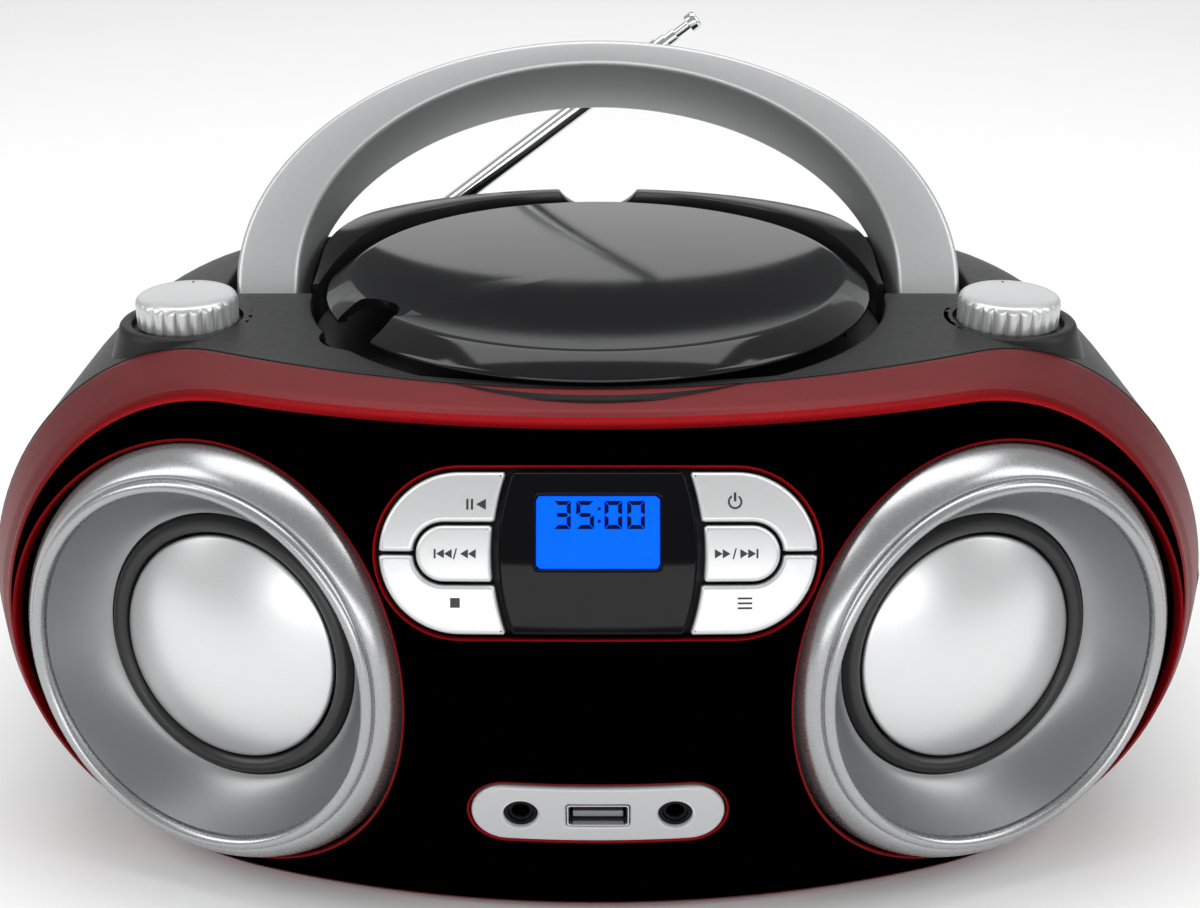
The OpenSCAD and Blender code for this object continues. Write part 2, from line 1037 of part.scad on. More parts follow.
module sled_rods() {
    color([0.75, 0.75, 0.77])
    for (y = [-12, 12])
        translate([16, lid_y + y, mech_z])
            rotate([0, 90, 0])
                cylinder(r = 1.5, h = 44.4, $fn = 32);
}

module lead_screw() {
    color([0.7, 0.65, 0.5])
    translate([12, lid_y + screw_y, mech_z])
        rotate([0, 90, 0]) {
            cylinder(r = 1.6, h = 48.4, $fn = 32);
            cylinder(r = 3.2, h = 3);
            translate([0, 0, -2])
                cylinder(r = 1 - fit, h = 3, $fn = 32);
        }
}

module sled_motor() {
    color([0.6, 0.6, 0.62])
    translate([-12, lid_y + screw_y, mech_z])
        rotate([0, 90, 0])
            difference() {
                cylinder(r = 4.4, h = 23);
                translate([0, 0, 20])
                    cylinder(r = 1, h = 4, $fn = 32);
            }
}

// ---- handle ----

module handle_solid() {
    intersection() {
        translate([0, 0, -20])
            linear_extrude(40)
                difference() {
                    arch_2d(handle_w, arch_rise);
                    arch_2d(handle_w - leg_t, arch_rise - grip_t);
                    translate([-60, -20])
                        square([120, 20]);
                }
        translate([-100, 0, 0])
            rotate([90, 0, 90])
                linear_extrude(200)
                    union() {
                        circle(foot_half);
                        polygon([[0, -foot_half], [leg_len + arch_rise + 1, -grip_half],
                            [leg_len + arch_rise + 1, grip_half], [0, foot_half]]);
                    }
    }
}

// turns a shape drawn flat, with +Y along the legs, to the handle's lean at the pivot
module at_handle() {
    translate([0, pivot_y, pivot_z])
        rotate([90 - handle_lean, 0, 0])
            children();
}

module handle() {
    color([0.7, 0.71, 0.72])
    difference() {
        at_handle() handle_solid();
        translate([-100, pivot_y, pivot_z])
            rotate([0, 90, 0])
                cylinder(r = 3, h = 200);
    }
}

module handle_pins() {
    color([0.6, 0.6, 0.62])
    for (side = [-1, 1])
        translate([side * 67.5, pivot_y, pivot_z])
            rotate([0, side * 90, 0])
                cylinder(r = 3, h = 26.5);
}

// ---- antenna ----

// children with +Z along the antenna
module on_antenna() {
    translate(mast)
        rotate([0, 90 - antenna_tilt, 0])
            children();
}

module antenna_swivel() {
    color([0.65, 0.65, 0.67])
    difference() {
        union() {
            translate([mast[0], mast[1], mast[2] - 14])
                cylinder(r = 4, h = 9);
            for (y = [-4.6, 3.1])
                translate([mast[0] - 3.5, mast[1] + y, mast[2] - 5])
                    cube([7, 1.5, 9]);
            translate([mast[0] - 3.5, mast[1] - 4.6, mast[2] - 5.5])
                cube([7, 9.2, 1.3]);
        }
        translate([mast[0], mast[1] - 8, mast[2]])
            rotate([-90, 0, 0])
                cylinder(r = 1.5, h = 16, $fn = 32);
    }
}

module antenna_tube_1() {
    color([0.75, 0.75, 0.77])
    on_antenna()
        difference() {
            union() {
                translate([0, 0, 3.4])
                    cylinder(r = tube_r, h = 112);
                difference() {
                    translate([-2.4, -2.4, -2.4])
                        cube([4.8, 4.8, 6]);
                    translate([0, 5, 0])
                        rotate([90, 0, 0])
                            cylinder(r = 1.4, h = 10, $fn = 32);
                }
                rotate([90, 0, 0])
                    translate([0, 0, -4.4])
                        cylinder(r = 1.45, h = 8.8, $fn = 32);
            }
            translate([0, 0, 8])
                cylinder(r = tube_r - 0.4, h = 120);
        }
}

module antenna_tube_2() {
    color([0.78, 0.78, 0.8])
    on_antenna()
        difference() {
            translate([0, 0, 9])
                cylinder(r = tube_r - 0.45, h = 109.5);
            translate([0, 0, 12])
                cylinder(r = tube_r - 0.85, h = 120);
        }
}

module antenna_tube_3() {
    color([0.8, 0.8, 0.82])
    on_antenna()
        difference() {
            translate([0, 0, 13])
                cylinder(r = tube_r - 0.9, h = 108.5);
            translate([0, 0, 16])
                cylinder(r = tube_r - 1.3, h = 120);
        }
}

module antenna_tip() {
    color([0.82, 0.82, 0.84])
    on_antenna() {
        translate([0, 0, 17])
            cylinder(r = tube_r - 1.35, h = 110, $fn = 32);
        translate([0, 0, 126])
            cylinder(r = 2.7, h = 3);
    }
}

// ---- power ----

module transformer() {
    color([0.35, 0.3, 0.25])
    translate([64, -2, 6]) {
        cube([34, 30, 28]);
        translate([4, -6, 6])
            cube([26, 42, 16]);
    }
}

module mains_inlet() {
    color([0.05, 0.05, 0.05])
    translate(inlet) {
        difference() {
            translate([-11, -20, -7])
                cube([22, 24, 14]);
            translate([-8.2, -10, -4])
                cube([16.4, 20, 8]);
        }
        for (side = [-1, 1])
            translate([side * 4.3, -11, 0])
                rotate([-90, 0, 0])
                    cylinder(r = 1.15, h = 9, $fn = 32);
    }
}

module battery_springs() {
    color([0.75, 0.75, 0.75])
    for (x = [-55, 0, 55])
        translate([x, bay_y + 0.2, 25]) {
            translate([-9, 0, -9])
                cube([18, 0.6, 18]);
            translate([0, 0.5, 0])
                rotate([-90, 0, 0])
                    cylinder(r1 = 6, r2 = 3, h = 5);
        }
}

front_shell();
top_shell();
rear_shell();
battery_door();
rubber_feet();
case_screws();
trim_ring(-1);  // left_trim_ring
trim_ring(1);  // right_trim_ring
basket(-1);  // left_basket
basket(1);  // right_basket
magnet(-1);  // left_magnet
magnet(1);  // right_magnet
surround(-1);  // left_surround
surround(1);  // right_surround
cone(-1);  // left_cone
cone(1);  // right_cone
display_window();
lcd_panel();
button_tray();
play_button();
back_button();
stop_button();
power_button();
next_button();
mode_button();
control_board();
io_plate();
jack(-1);  // aux_jack
usb_port();
jack(1);  // headphone_jack
main_board();
tuning_capacitor();
volume_pot();
knob(-1);  // tuning_knob
knob(1);  // volume_knob
cd_lid();
lid_hinge_pins();
disc_clamp();
cd_tray();
cd_chassis();
turntable();
spindle_motor();
laser_sled();
sled_rods();
lead_screw();
sled_motor();
handle();
handle_pins();
antenna_swivel();
antenna_tube_1();
antenna_tube_2();
antenna_tube_3();
antenna_tip();
transformer();
mains_inlet();
battery_box();
battery_springs();
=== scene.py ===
import math

import bpy
import numpy as np
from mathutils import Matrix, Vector
from mathutils.geometry import delaunay_2d_cdt


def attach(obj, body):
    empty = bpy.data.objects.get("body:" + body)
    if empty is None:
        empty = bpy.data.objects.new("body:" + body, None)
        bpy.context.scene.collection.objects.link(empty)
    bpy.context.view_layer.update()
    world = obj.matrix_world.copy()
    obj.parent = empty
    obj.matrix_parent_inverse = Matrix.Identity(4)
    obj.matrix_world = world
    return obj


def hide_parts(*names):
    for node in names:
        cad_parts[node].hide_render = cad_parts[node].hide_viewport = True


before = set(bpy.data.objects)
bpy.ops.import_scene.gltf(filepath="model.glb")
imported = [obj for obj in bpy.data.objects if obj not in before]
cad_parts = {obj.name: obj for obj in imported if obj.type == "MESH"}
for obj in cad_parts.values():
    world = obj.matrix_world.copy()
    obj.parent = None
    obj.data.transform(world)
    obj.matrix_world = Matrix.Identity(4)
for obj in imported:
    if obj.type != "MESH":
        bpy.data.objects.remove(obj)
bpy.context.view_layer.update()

# Lengths in the modelling code are millimetres in the part's own frame; make() turns them into metres.
MM = 0.001
# The front is part of a ring: centre in plan, radius to the arc's centre, the arc's radius and height.
PLAN_C = 138.5
OFF = 134.0
ARC_R = 106.0
ARC_Z = 45.5
WELL = (0.0, -2.0)                              # disc well's centre in plan
WELL_R = 69.0                                   # its radius
PIVOT = (8.0, 98.0)                             # handle's pivot, y and z
KNOBS = ((-95.4, -22.8), (95.4, -22.8))         # plan positions
SPEAKER = (21.6, 5.1424)                        # azimuth and elevation of a speaker's axis, degrees
CLUSTER_EL = 24                                 # elevation of the display and its buttons
PLATE_EL = -7.862                               # elevation of the socket plate

# ---- materials


def noise_node(tree, mapping, scale, detail):
    """Noise texture that reads the mapped object coordinates."""
    made = tree.nodes.new("ShaderNodeTexNoise")
    made.inputs["Scale"].default_value = scale
    made.inputs["Detail"].default_value = detail
    tree.links.new(mapping.outputs["Vector"], made.inputs["Vector"])
    return made


def colour_ramp(tree, noise, low, high):
    """Colour that wanders between low and high with the noise."""
    ramp = tree.nodes.new("ShaderNodeValToRGB")
    for stop, position, colour in zip(ramp.color_ramp.elements, (0.3, 0.7), (low, high)):
        stop.position = position
        stop.color = (*colour, 1)
    tree.links.new(noise.outputs["Fac"], ramp.inputs["Fac"])
    return ramp


def add_bump(tree, shader, mapping, strength, scale):
    """Fine surface grain through the shader's normal."""
    grain = noise_node(tree, mapping, scale, 2.0)
    bump = tree.nodes.new("ShaderNodeBump")
    bump.inputs["Strength"].default_value = strength
    bump.inputs["Distance"].default_value = 0.00006
    tree.links.new(grain.outputs["Fac"], bump.inputs["Height"])
    tree.links.new(bump.outputs["Normal"], shader.inputs["Normal"])


def material(name, base, rough, metallic=0.0, vary=0.04, rough_vary=0.06, noise=900.0, bump=0.0,
             bump_scale=2500.0, spec=0.5, stretch=(1, 1, 1), emit=None, tint=None):
    """Principled material whose colour, roughness and bump come from object-space noise."""
    mat = bpy.data.materials.new(name)
    mat.use_nodes = True
    tree = mat.node_tree
    for old in list(tree.nodes):
        tree.nodes.remove(old)
    out = tree.nodes.new("ShaderNodeOutputMaterial")
    shader = tree.nodes.new("ShaderNodeBsdfPrincipled")
    tree.links.new(shader.outputs["BSDF"], out.inputs["Surface"])
    shader.inputs["Metallic"].default_value = metallic
    shader.inputs["Specular IOR Level"].default_value = spec
    where = tree.nodes.new("ShaderNodeTexCoord")
    mapping = tree.nodes.new("ShaderNodeMapping")
    mapping.inputs["Scale"].default_value = stretch
    tree.links.new(where.outputs["Object"], mapping.inputs["Vector"])
    low = [max(0.0, c * (1 - vary)) for c in base]
    high = [min(1.0, c * (1 + vary)) for c in (tint or base)]
    ramp = colour_ramp(tree, noise_node(tree, mapping, noise, 3.0), low, high)
    tree.links.new(ramp.outputs["Color"], shader.inputs["Base Color"])
    if emit:
        tree.links.new(ramp.outputs["Color"], shader.inputs["Emission Color"])
        shader.inputs["Emission Strength"].default_value = emit
    spread = tree.nodes.new("ShaderNodeMapRange")
    spread.inputs["To Min"].default_value = max(0.01, rough - rough_vary)
    spread.inputs["To Max"].default_value = min(1.0, rough + rough_vary)
    tree.links.new(noise_node(tree, mapping, noise * 0.37, 2.0).outputs["Fac"], spread.inputs["Value"])
    tree.links.new(spread.outputs["Result"], shader.inputs["Roughness"])
    if bump:
        add_bump(tree, shader, mapping, bump, bump_scale)
    return mat


MAT = {
    "red": material("red_lacquer", (0.155, 0.0004, 0.002), 0.40, metallic=0.7, vary=0.08, noise=2600.0,
                    spec=0.12, tint=(0.20, 0.0008, 0.003), bump=0.10, bump_scale=4200.0),
    # band: browner copy of the red lacquer, its colour painted shade for how light falls on the upward-facing
    # band
    "band": material("red_band_painted_shade", (0.15, 0.014, 0.016), 0.46, metallic=0.5, vary=0.08, noise=2000.0,
                     spec=0.3, bump=0.10, bump_scale=3600.0),
    "shell": material("grey_satin", (0.010, 0.010, 0.011), 0.42, vary=0.12, noise=1500.0, spec=0.22,
                      bump=0.2, bump_scale=2600.0),
    "tower": material("black_rim", (0.012, 0.012, 0.013), 0.22, vary=0.12, noise=900.0, bump=0.06),
    "lid": material("gloss_lid", (0.005, 0.005, 0.006), 0.09, vary=0.15, rough_vary=0.02, noise=300.0,
                    spec=0.4),
    "window": material("gloss_window", (0.002, 0.002, 0.003), 0.06, vary=0.15, rough_vary=0.01, noise=260.0,
                       spec=0.12),
    "handle": material("silver_grain", (0.52, 0.525, 0.53), 0.40, metallic=0.65, vary=0.07, noise=4600.0,
                       bump=0.45, bump_scale=4200.0),
    "button": material("silver_button", (0.66, 0.665, 0.67), 0.33, metallic=0.55, vary=0.03, noise=4200.0,
                       bump=0.12, bump_scale=5200.0),
    "knob": material("silver_knob", (0.60, 0.605, 0.61), 0.32, metallic=0.6, vary=0.02, noise=1500.0),
    "ring": material("silver_ring", (0.40, 0.405, 0.41), 0.27, metallic=0.85, vary=0.03, noise=2400.0),
    "dish": material("grey_dish", (0.30, 0.305, 0.31), 0.40, metallic=0.75, vary=0.04, noise=5200.0,
                     bump=0.16, bump_scale=5200.0),
    "cap": material("cone_cap", (0.74, 0.745, 0.75), 0.33, metallic=0.8, vary=0.03, noise=4200.0, bump=0.10,
                    bump_scale=5200.0),
    "plate": material("silver_plate", (0.50, 0.51, 0.52), 0.42, metallic=0.4, vary=0.03, noise=4200.0,
                      bump=0.10, bump_scale=5200.0),
    "rubber": material("black_rubber", (0.012, 0.012, 0.012), 0.38, vary=0.15, noise=1200.0, bump=0.20),
    "plastic": material("dark_plastic", (0.014, 0.014, 0.015), 0.40, vary=0.15, noise=1200.0, bump=0.20),
    "icon": material("dark_print", (0.022, 0.022, 0.026), 0.50, vary=0.10, noise=1500.0),
    # pale grey for the socket lips: a painted highlight standing in for the bright rim round each socket
    "painted_lip_highlight": material("lip_painted_highlight", (0.55, 0.55, 0.56), 0.50, vary=0.05, noise=1500.0),
    "lcd": material("lcd_blue", (0.0, 0.08, 0.90), 0.5, vary=0.03, noise=500.0, emit=0.80, spec=0.05),
    "digit": material("lcd_digit", (0.0, 0.004, 0.03), 0.6, vary=0.10, noise=900.0, spec=0.05),
    "chrome": material("chrome_tube", (0.72, 0.725, 0.73), 0.12, metallic=1.0, vary=0.02, rough_vary=0.03,
                       noise=600.0),
    "steel": material("plain_steel", (0.50, 0.50, 0.51), 0.30, metallic=1.0, vary=0.06, noise=900.0,
                      stretch=(1, 6, 1)),
    "socket": material("socket_metal", (0.58, 0.58, 0.59), 0.22, metallic=1.0, vary=0.04, noise=1400.0),
    "board": material("green_board", (0.010, 0.10, 0.035), 0.45, vary=0.25, noise=420.0),
    "ferrite": material("ferrite", (0.035, 0.035, 0.038), 0.55, metallic=0.4, vary=0.2, noise=900.0,
                        bump=0.3),
}

# ---- mesh helpers


def make(name, verts, faces, mat, body, slot=None, replaces=(), angle=32.0, normals=None):
    """One object from millimetre vertices. normals maps a vertex number to its exact normal."""
    me = bpy.data.meshes.new(name)
    me.from_pydata([tuple(float(c) * MM for c in v) for v in verts], [],
                   [tuple(int(i) for i in f) for f in faces])
    me.validate()
    me.update()
    ob = bpy.data.objects.new(name, me)
    bpy.context.scene.collection.objects.link(ob)
    me.materials.append(MAT[mat])
    me.shade_smooth()
    if normals is not None:
        auto = [v.normal.copy() for v in me.vertices]
        for i, n in normals.items():
            auto[i] = Vector(n)
        me.normals_split_custom_set_from_vertices(auto)
    elif angle < 180:
        me.set_sharp_from_angle(angle=math.radians(angle))
    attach(ob, body)
    if replaces:
        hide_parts(*replaces)
    return ob


def quads(count, rows, closed=True, start=0, flip=False):
    """Faces between consecutive rows of count vertices each."""
    out = []
    for r in range(rows - 1):
        for i in range(count if closed else count - 1):
            j = (i + 1) % count
            a = start + r * count + i
            b = start + r * count + j
            c = start + (r + 1) * count + j
            d = start + (r + 1) * count + i
            out.append((a, d, c, b) if flip else (a, b, c, d))
    return out


def lathe(name, profile, place, mat, body, seg=96, closed=True, **kw):
    """Turns (r, z) points round place's third axis. Points with r = 0 become one vertex."""
    o, x, y, n = place
    verts, rows = [], []
    for r, z in profile:
        if r < 1e-6:
            verts.append(o + n * z)
            rows.append([len(verts) - 1])
        else:
            rows.append(list(range(len(verts), len(verts) + seg)))
            for k in range(seg):
                t = 2 * math.pi * k / seg
                verts.append(o + x * (r * math.cos(t)) + y * (r * math.sin(t)) + n * z)
    faces = []
    pairs = list(zip(rows[:-1], rows[1:]))
    if closed:
        pairs.append((rows[-1], rows[0]))
    for a, b in pairs:
        for k in range(seg):
            j = (k + 1) % seg
            if len(a) == 1 and len(b) == 1:
                break
            if len(a) == 1:
                faces.append((a[0], b[j], b[k]))
            elif len(b) == 1:
                faces.append((a[k], a[j], b[0]))
            else:
                faces.append((a[k], a[j], b[j], b[k]))
    return make(name, verts, faces, mat, body, **kw)


def arc(cx, cz, r, a0, a1, n):
    """n + 1 points of a circle's arc, between two angles in degrees."""
    return [(cx + r * math.cos(math.radians(a0 + (a1 - a0) * i / n)),
             cz + r * math.sin(math.radians(a0 + (a1 - a0) * i / n))) for i in range(n + 1)]


def circle(r, n, x=0.0, y=0.0):
    """n points round a circle, the first one not repeated."""
    turn = np.linspace(0, 2 * math.pi, n, endpoint=False)
    return [(x + r * math.cos(t), y + r * math.sin(t)) for t in turn]


def upright(x, y, z):
    """Place with its third axis up: origin and three axes."""
    return (Vector((x, y, z)), Vector((1, 0, 0)), Vector((0, 1, 0)), Vector((0, 0, 1)))


def face_frame(az, el):
    """Place on the barrel at an azimuth and elevation, with its third axis outwards."""
    a, e = math.radians(az), math.radians(el)
    rad = OFF + ARC_R * math.cos(e)
    o = Vector((math.sin(a) * rad, PLAN_C - math.cos(a) * rad, ARC_Z + ARC_R * math.sin(e)))
    x = Vector((math.cos(a), math.sin(a), 0))
    n = Vector((math.sin(a) * math.cos(e), -math.cos(a) * math.cos(e), math.sin(e)))
    return o, x, n.cross(x), n


def barrel_hit(p, d, off=0.0):
    """Where the line from p along d meets the barrel surface moved out by off."""
    t = 0.0
    for _ in range(25):
        q = p + d * t
        rho = math.hypot(q.x, q.y - PLAN_C)
        w = math.hypot(rho - OFF, q.z - ARC_Z)
        f = w - (ARC_R + off)
        g = Vector(((rho - OFF) / w * q.x / rho, (rho - OFF) / w * (q.y - PLAN_C) / rho, (q.z - ARC_Z) / w))
        t -= f / g.dot(d)
        if abs(f) < 1e-7:
            break
    return p + d * t


def barrel_normal(q):
    """Outward normal of the barrel at a point."""
    rho = math.hypot(q.x, q.y - PLAN_C)
    w = math.hypot(rho - OFF, q.z - ARC_Z)
    return Vector(((rho - OFF) / w * q.x / rho, (rho - OFF) / w * (q.y - PLAN_C) / rho, (q.z - ARC_Z) / w))


def on_barrel(x, z, off=0.0):
    """Point of the barrel surface, moved out by off, at a given x and z."""
    el = math.asin(max(-1, min(1, (z - ARC_Z) / (ARC_R + off))))
    rad = OFF + (ARC_R + off) * math.cos(el)
    return Vector((x, PLAN_C - math.sqrt(rad * rad - x * x), z))


AZ_LENGTH = 232.0                               # length a radian of azimuth stands for


def uv_of(q):
    """Flat coordinates of a point of the barrel: lengths along its azimuth and its arc."""
    el = math.asin(max(-1, min(1, (q.z - ARC_Z) / ARC_R)))
    return (math.atan2(q.x, PLAN_C - q.y) * AZ_LENGTH, el * ARC_R)


def from_uv(u, v):
    """The point of the barrel that uv_of() takes to (u, v)."""
    az, el = u / AZ_LENGTH, v / ARC_R
    rad = OFF + ARC_R * math.cos(el)
    return Vector((math.sin(az) * rad, PLAN_C - math.cos(az) * rad, ARC_Z + ARC_R * math.sin(el)))


def inside(poly, x, y):
    """Even-odd test of many points at once; x and y are arrays."""
    poly = np.asarray(poly)
    res = np.zeros(len(x), bool)
    x0, y0 = poly[-1]
    for x1, y1 in poly:
        cross = (y1 > y) != (y0 > y)
        with np.errstate(divide="ignore", invalid="ignore"):
            res ^= cross & (x < (x0 - x1) * (y - y1) / (y0 - y1) + x1)
        x0, y0 = x1, y1
    return res


def hex_grid(lo, hi, step):
    """Points of a hexagonal grid over a rectangle, as two arrays."""
    gx, gy = [], []
    row, y = 0, lo[1] + step * 0.5
    while y < hi[1]:
        x = lo[0] + (0.5 if row % 2 else 0.0) * step
        while x < hi[0]:
            gx.append(x)
            gy.append(y)
            x += step
        y += step * 0.866
        row += 1
    return np.array(gx), np.array(gy)


def patch(outer, holes, step):
    """Triangulated region between an outer loop and holes, with a hex grid inside.

    Returns points and faces. The loops' own points come first, in order.
    """
    pts = list(outer)
    edges = [(i, (i + 1) % len(outer)) for i in range(len(outer))]
    for h in holes:
        s = len(pts)
        pts += list(h)
        edges += [(s + i, s + (i + 1) % len(h)) for i in range(len(h))]
    arr = np.array(pts)
    gx, gy = hex_grid(arr.min(0), arr.max(0), step)
    keep = inside(outer, gx, gy)
    for h in holes:
        keep &= ~inside(h, gx, gy)
    gx, gy = gx[keep], gy[keep]
    near = np.ones(len(gx), bool)
    for i in range(len(arr)):
        near &= (gx - arr[i, 0]) ** 2 + (gy - arr[i, 1]) ** 2 > (step * 0.55) ** 2
    pts += list(zip(gx[near], gy[near]))
    got, _, faces, orig, _, _ = delaunay_2d_cdt([Vector(p) for p in pts], edges, [], 0, 1e-6)
    back = []
    for q, o in zip(got, orig):
        if not o:
            pts.append(tuple(q))
        back.append(o[0] if o else len(pts) - 1)
    cen = np.array([[np.mean([pts[back[i]][k] for i in f]) for k in (0, 1)] for f in faces])
    ok = inside(outer, cen[:, 0], cen[:, 1])
    for h in holes:
        ok &= ~inside(h, cen[:, 0], cen[:, 1])
    return pts, [tuple(back[i] for i in f) for f, k in zip(faces, ok) if k]


def signed_area(loop):
    """Area of a closed loop, positive where it runs counter-clockwise."""
    return 0.5 * sum(a[0] * b[1] - b[0] * a[1] for a, b in zip(loop, [*loop[1:], loop[0]]))


def ccw(loop):
    """The loop, turned round where it runs clockwise."""
    return list(loop) if signed_area(loop) > 0 else list(loop)[::-1]


def inset(loop, d):
    """Moves a counter-clockwise loop inwards by d, along each point's mitre."""
    n = len(loop)
    out = []
    for i in range(n):
        p, q, r = loop[i - 1], loop[i], loop[(i + 1) % n]
        a = Vector((q[0] - p[0], q[1] - p[1])).normalized()
        b = Vector((r[0] - q[0], r[1] - q[1])).normalized()
        na, nb = Vector((-a.y, a.x)), Vector((-b.y, b.x))
        m = na + nb
        if m.length < 1e-6:
            m = na
        m.normalize()
        k = d / max(0.45, m.dot(na))
        out.append((q[0] + m.x * k, q[1] + m.y * k))
    return out


def resample(loop, step):
    """Even spacing along a closed loop."""
    n = len(loop)
    cum = [0.0]
    for i in range(n):
        a, b = loop[i], loop[(i + 1) % n]
        cum.append(cum[-1] + math.hypot(b[0] - a[0], b[1] - a[1]))
    total = cum[-1]
    count = max(12, int(round(total / step)))
    out, k = [], 0
    for c in range(count):
        s = total * c / count
        while cum[k + 1] < s:
            k += 1
        t = (s - cum[k]) / (cum[k + 1] - cum[k])
        a, b = loop[k], loop[(k + 1) % n]
        out.append((a[0] + (b[0] - a[0]) * t, a[1] + (b[1] - a[1]) * t))
    return out


def round_corners(loop, r, limit=25.0, n=5):
    """Rounds each corner of a counter-clockwise loop that turns more than limit degrees."""
    out = []
    m = len(loop)
    for i in range(m):
        p, q, s = Vector(loop[i - 1]), Vector(loop[i]), Vector(loop[(i + 1) % m])
        a, b = (q - p), (s - q)
        turn = abs(a.angle(b)) if a.length > 1e-9 and b.length > 1e-9 else 0
        if math.degrees(turn) < limit:
            out.append(tuple(q))
            continue
        cut = min(r * math.tan(turn / 2), a.length * 0.48, b.length * 0.48)
        s0, s1 = q - a.normalized() * cut, q + b.normalized() * cut
        for k in range(n + 1):
            t = k / n
            out.append(tuple(s0 * (1 - t) ** 2 + q * (2 * t * (1 - t)) + s1 * t ** 2))
    return out


def stadium_loop(half, r, n=24):
    """Lying stadium: half its length, and the radius of its ends."""
    c = half - r
    right = np.linspace(-math.pi / 2, math.pi / 2, n)
    left = np.linspace(math.pi / 2, 1.5 * math.pi, n)
    ends = ((c, right), (-c, left))
    return [(x + r * math.cos(t), r * math.sin(t)) for x, turn in ends for t in turn]


def upwards(pts, face):
    """Whether a face of flat points runs counter-clockwise."""
    a, b, c = (pts[i] for i in face[:3])
    return (b[0] - a[0]) * (c[1] - a[1]) - (b[1] - a[1]) * (c[0] - a[0]) > 0


def pad(name, loop, layers, place, mat, body, grid=2.2, holes=(), **kw):
    """A plate lying on the barrel. layers are (inset, height over the face), from the back up."""
    o, x, y, n = place
    loops = [ccw(loop)] + [ccw(h) for h in holes]
    verts, faces = [], []
    rings = []
    for li, lp in enumerate(loops):
        rows = []
        for d, h in layers:
            pts = inset(lp, d if li == 0 else -d)
            rows.append(list(range(len(verts), len(verts) + len(pts))))
            for p in pts:
                verts.append(barrel_hit(o + x * p[0] + y * p[1], n, h))
        rings.append(rows)
        for a, b in zip(rows[:-1], rows[1:]):
            for i in range(len(a)):
                j = (i + 1) % len(a)
                f = (a[i], a[j], b[j], b[i])
                faces.append(f if li == 0 else f[::-1])
    normals = {}
    for end, (d, h) in ((-1, layers[-1]), (0, layers[0])):
        ls = [inset(lp, d if li == 0 else -d) for li, lp in enumerate(loops)]
        pts, tris = patch(ls[0], ls[1:], grid)
        idx = [i for rows in rings for i in rows[end]]
        for p in pts[len(idx):]:
            idx.append(len(verts))
            verts.append(barrel_hit(o + x * p[0] + y * p[1], n, h))
        for t in tris:
            f = tuple(idx[i] for i in t)
            faces.append(f if upwards(pts, t) == (end == -1) else f[::-1])
        if end == -1:
            for i in idx:
                normals[i] = barrel_normal(verts[i])
    return make(name, verts, faces, mat, body, normals=normals, **kw)


def flat_icon(name, loops, place, h, mat, body, thick=0.05):
    """Thin printed shapes on the barrel, one closed loop each."""
    o, x, y, n = place
    verts, faces = [], []
    for lp in loops:
        lp = ccw(resample(lp, 0.45) if len(lp) > 6 else lp)
        k = len(lp)
        s = len(verts)
        for hh in (h - 0.04, h + thick):
            for p in lp:
                verts.append(barrel_hit(o + x * p[0] + y * p[1], n, hh))
        faces += [(s + i, s + (i + 1) % k, s + k + (i + 1) % k, s + k + i) for i in range(k)]
        faces.append(tuple(s + k + i for i in range(k)))
        faces.append(tuple(s + k - 1 - i for i in range(k)))
    return make(name, verts, faces, mat, body, angle=20)


# ---- front shell

P_N = 44                                        # points in an eighth of the outline
OUT_P = [i / P_N for i in range(8 * P_N)]
# Outlines as centre offset, centre height and radius: the face's edge, and the back of the band.
EDGE = (78.3, 56.2, 55.7)
BACK = (83.7, 57.7, 57.3)


def stadium_param(cx, cz, r, p):
    """Point of an upright stadium outline; p runs 0..8 from the bottom centre, to the right and round."""
    q = p % 8.0
    mirror = q > 4
    if mirror:
        q = 8 - q
    if q <= 1:
        x, z = cx * q, cz - r
    elif q <= 3:
        t = math.radians(-90 + (q - 1) * 90)
        x, z = cx + r * math.cos(t), cz + r * math.sin(t)
    else:
        x, z = cx * (4 - q), cz + r
    return (-x if mirror else x), z


def band_depth(x, z):
    """Depth of the band: thin at the top middle, deeper at the shoulders and round the sides."""
    s = min(1.0, abs(x) / 105.0)
    s = s * s * (3 - 2 * s)
    top = 5.6 + 3.4 * s
    return top if z > 57.7 else top + (9.0 - top) * min(1.0, (57.7 - z) / 30.0)


def band_point(p, tau, shrink=0.0):
    """Point of the band, tau from 0 at the face's edge to 1 at the back."""
    cx = EDGE[0] + (BACK[0] - EDGE[0]) * tau
    cz = EDGE[1] + (BACK[1] - EDGE[1]) * tau
    r = EDGE[2] + (BACK[2] - EDGE[2]) * tau - shrink
    x, z = stadium_param(cx, cz, r, p)
    return on_barrel(x, z, -band_depth(x, z) * tau)


def band_rows():
    """Rows of points over the band and in behind it, and how many of them lie on the face's edge."""
    cx, cz, r = EDGE
    rows = [[on_barrel(*stadium_param(cx, cz, r - 1.5, p)) for p in OUT_P]]
    for shrink, d in ((0.95, -0.10), (0.5, -0.32), (0.18, -0.7), (0.0, -1.2)):
        rows.append([on_barrel(*stadium_param(cx, cz, r - shrink, p), d) for p in OUT_P])
    face_rows = len(rows)
    over = [(tau, 0) for tau in (0.2, 0.35, 0.5, 0.65, 0.8, 0.93)]
    behind = [(0.99, 0.06), (1.0, 0.35), (1.0, 2.6), (0.9, 2.6)]
    for tau, shrink in over + behind:
        rows.append([band_point(p, tau, shrink) for p in OUT_P])
    return rows, face_rows


def front_openings():
    """Places and outlines of the openings for the speakers, the button cluster and the socket plate."""
    ring = circle(48.95, 144)
    return [(face_frame(-SPEAKER[0], SPEAKER[1]), ring), (face_frame(SPEAKER[0], SPEAKER[1]), ring),
            (face_frame(0, CLUSTER_EL), resample(stadium_loop(45.5, 17.2), 1.2)),
            (face_frame(0, PLATE_EL), resample(stadium_loop(27.1, 7.6), 1.2))]


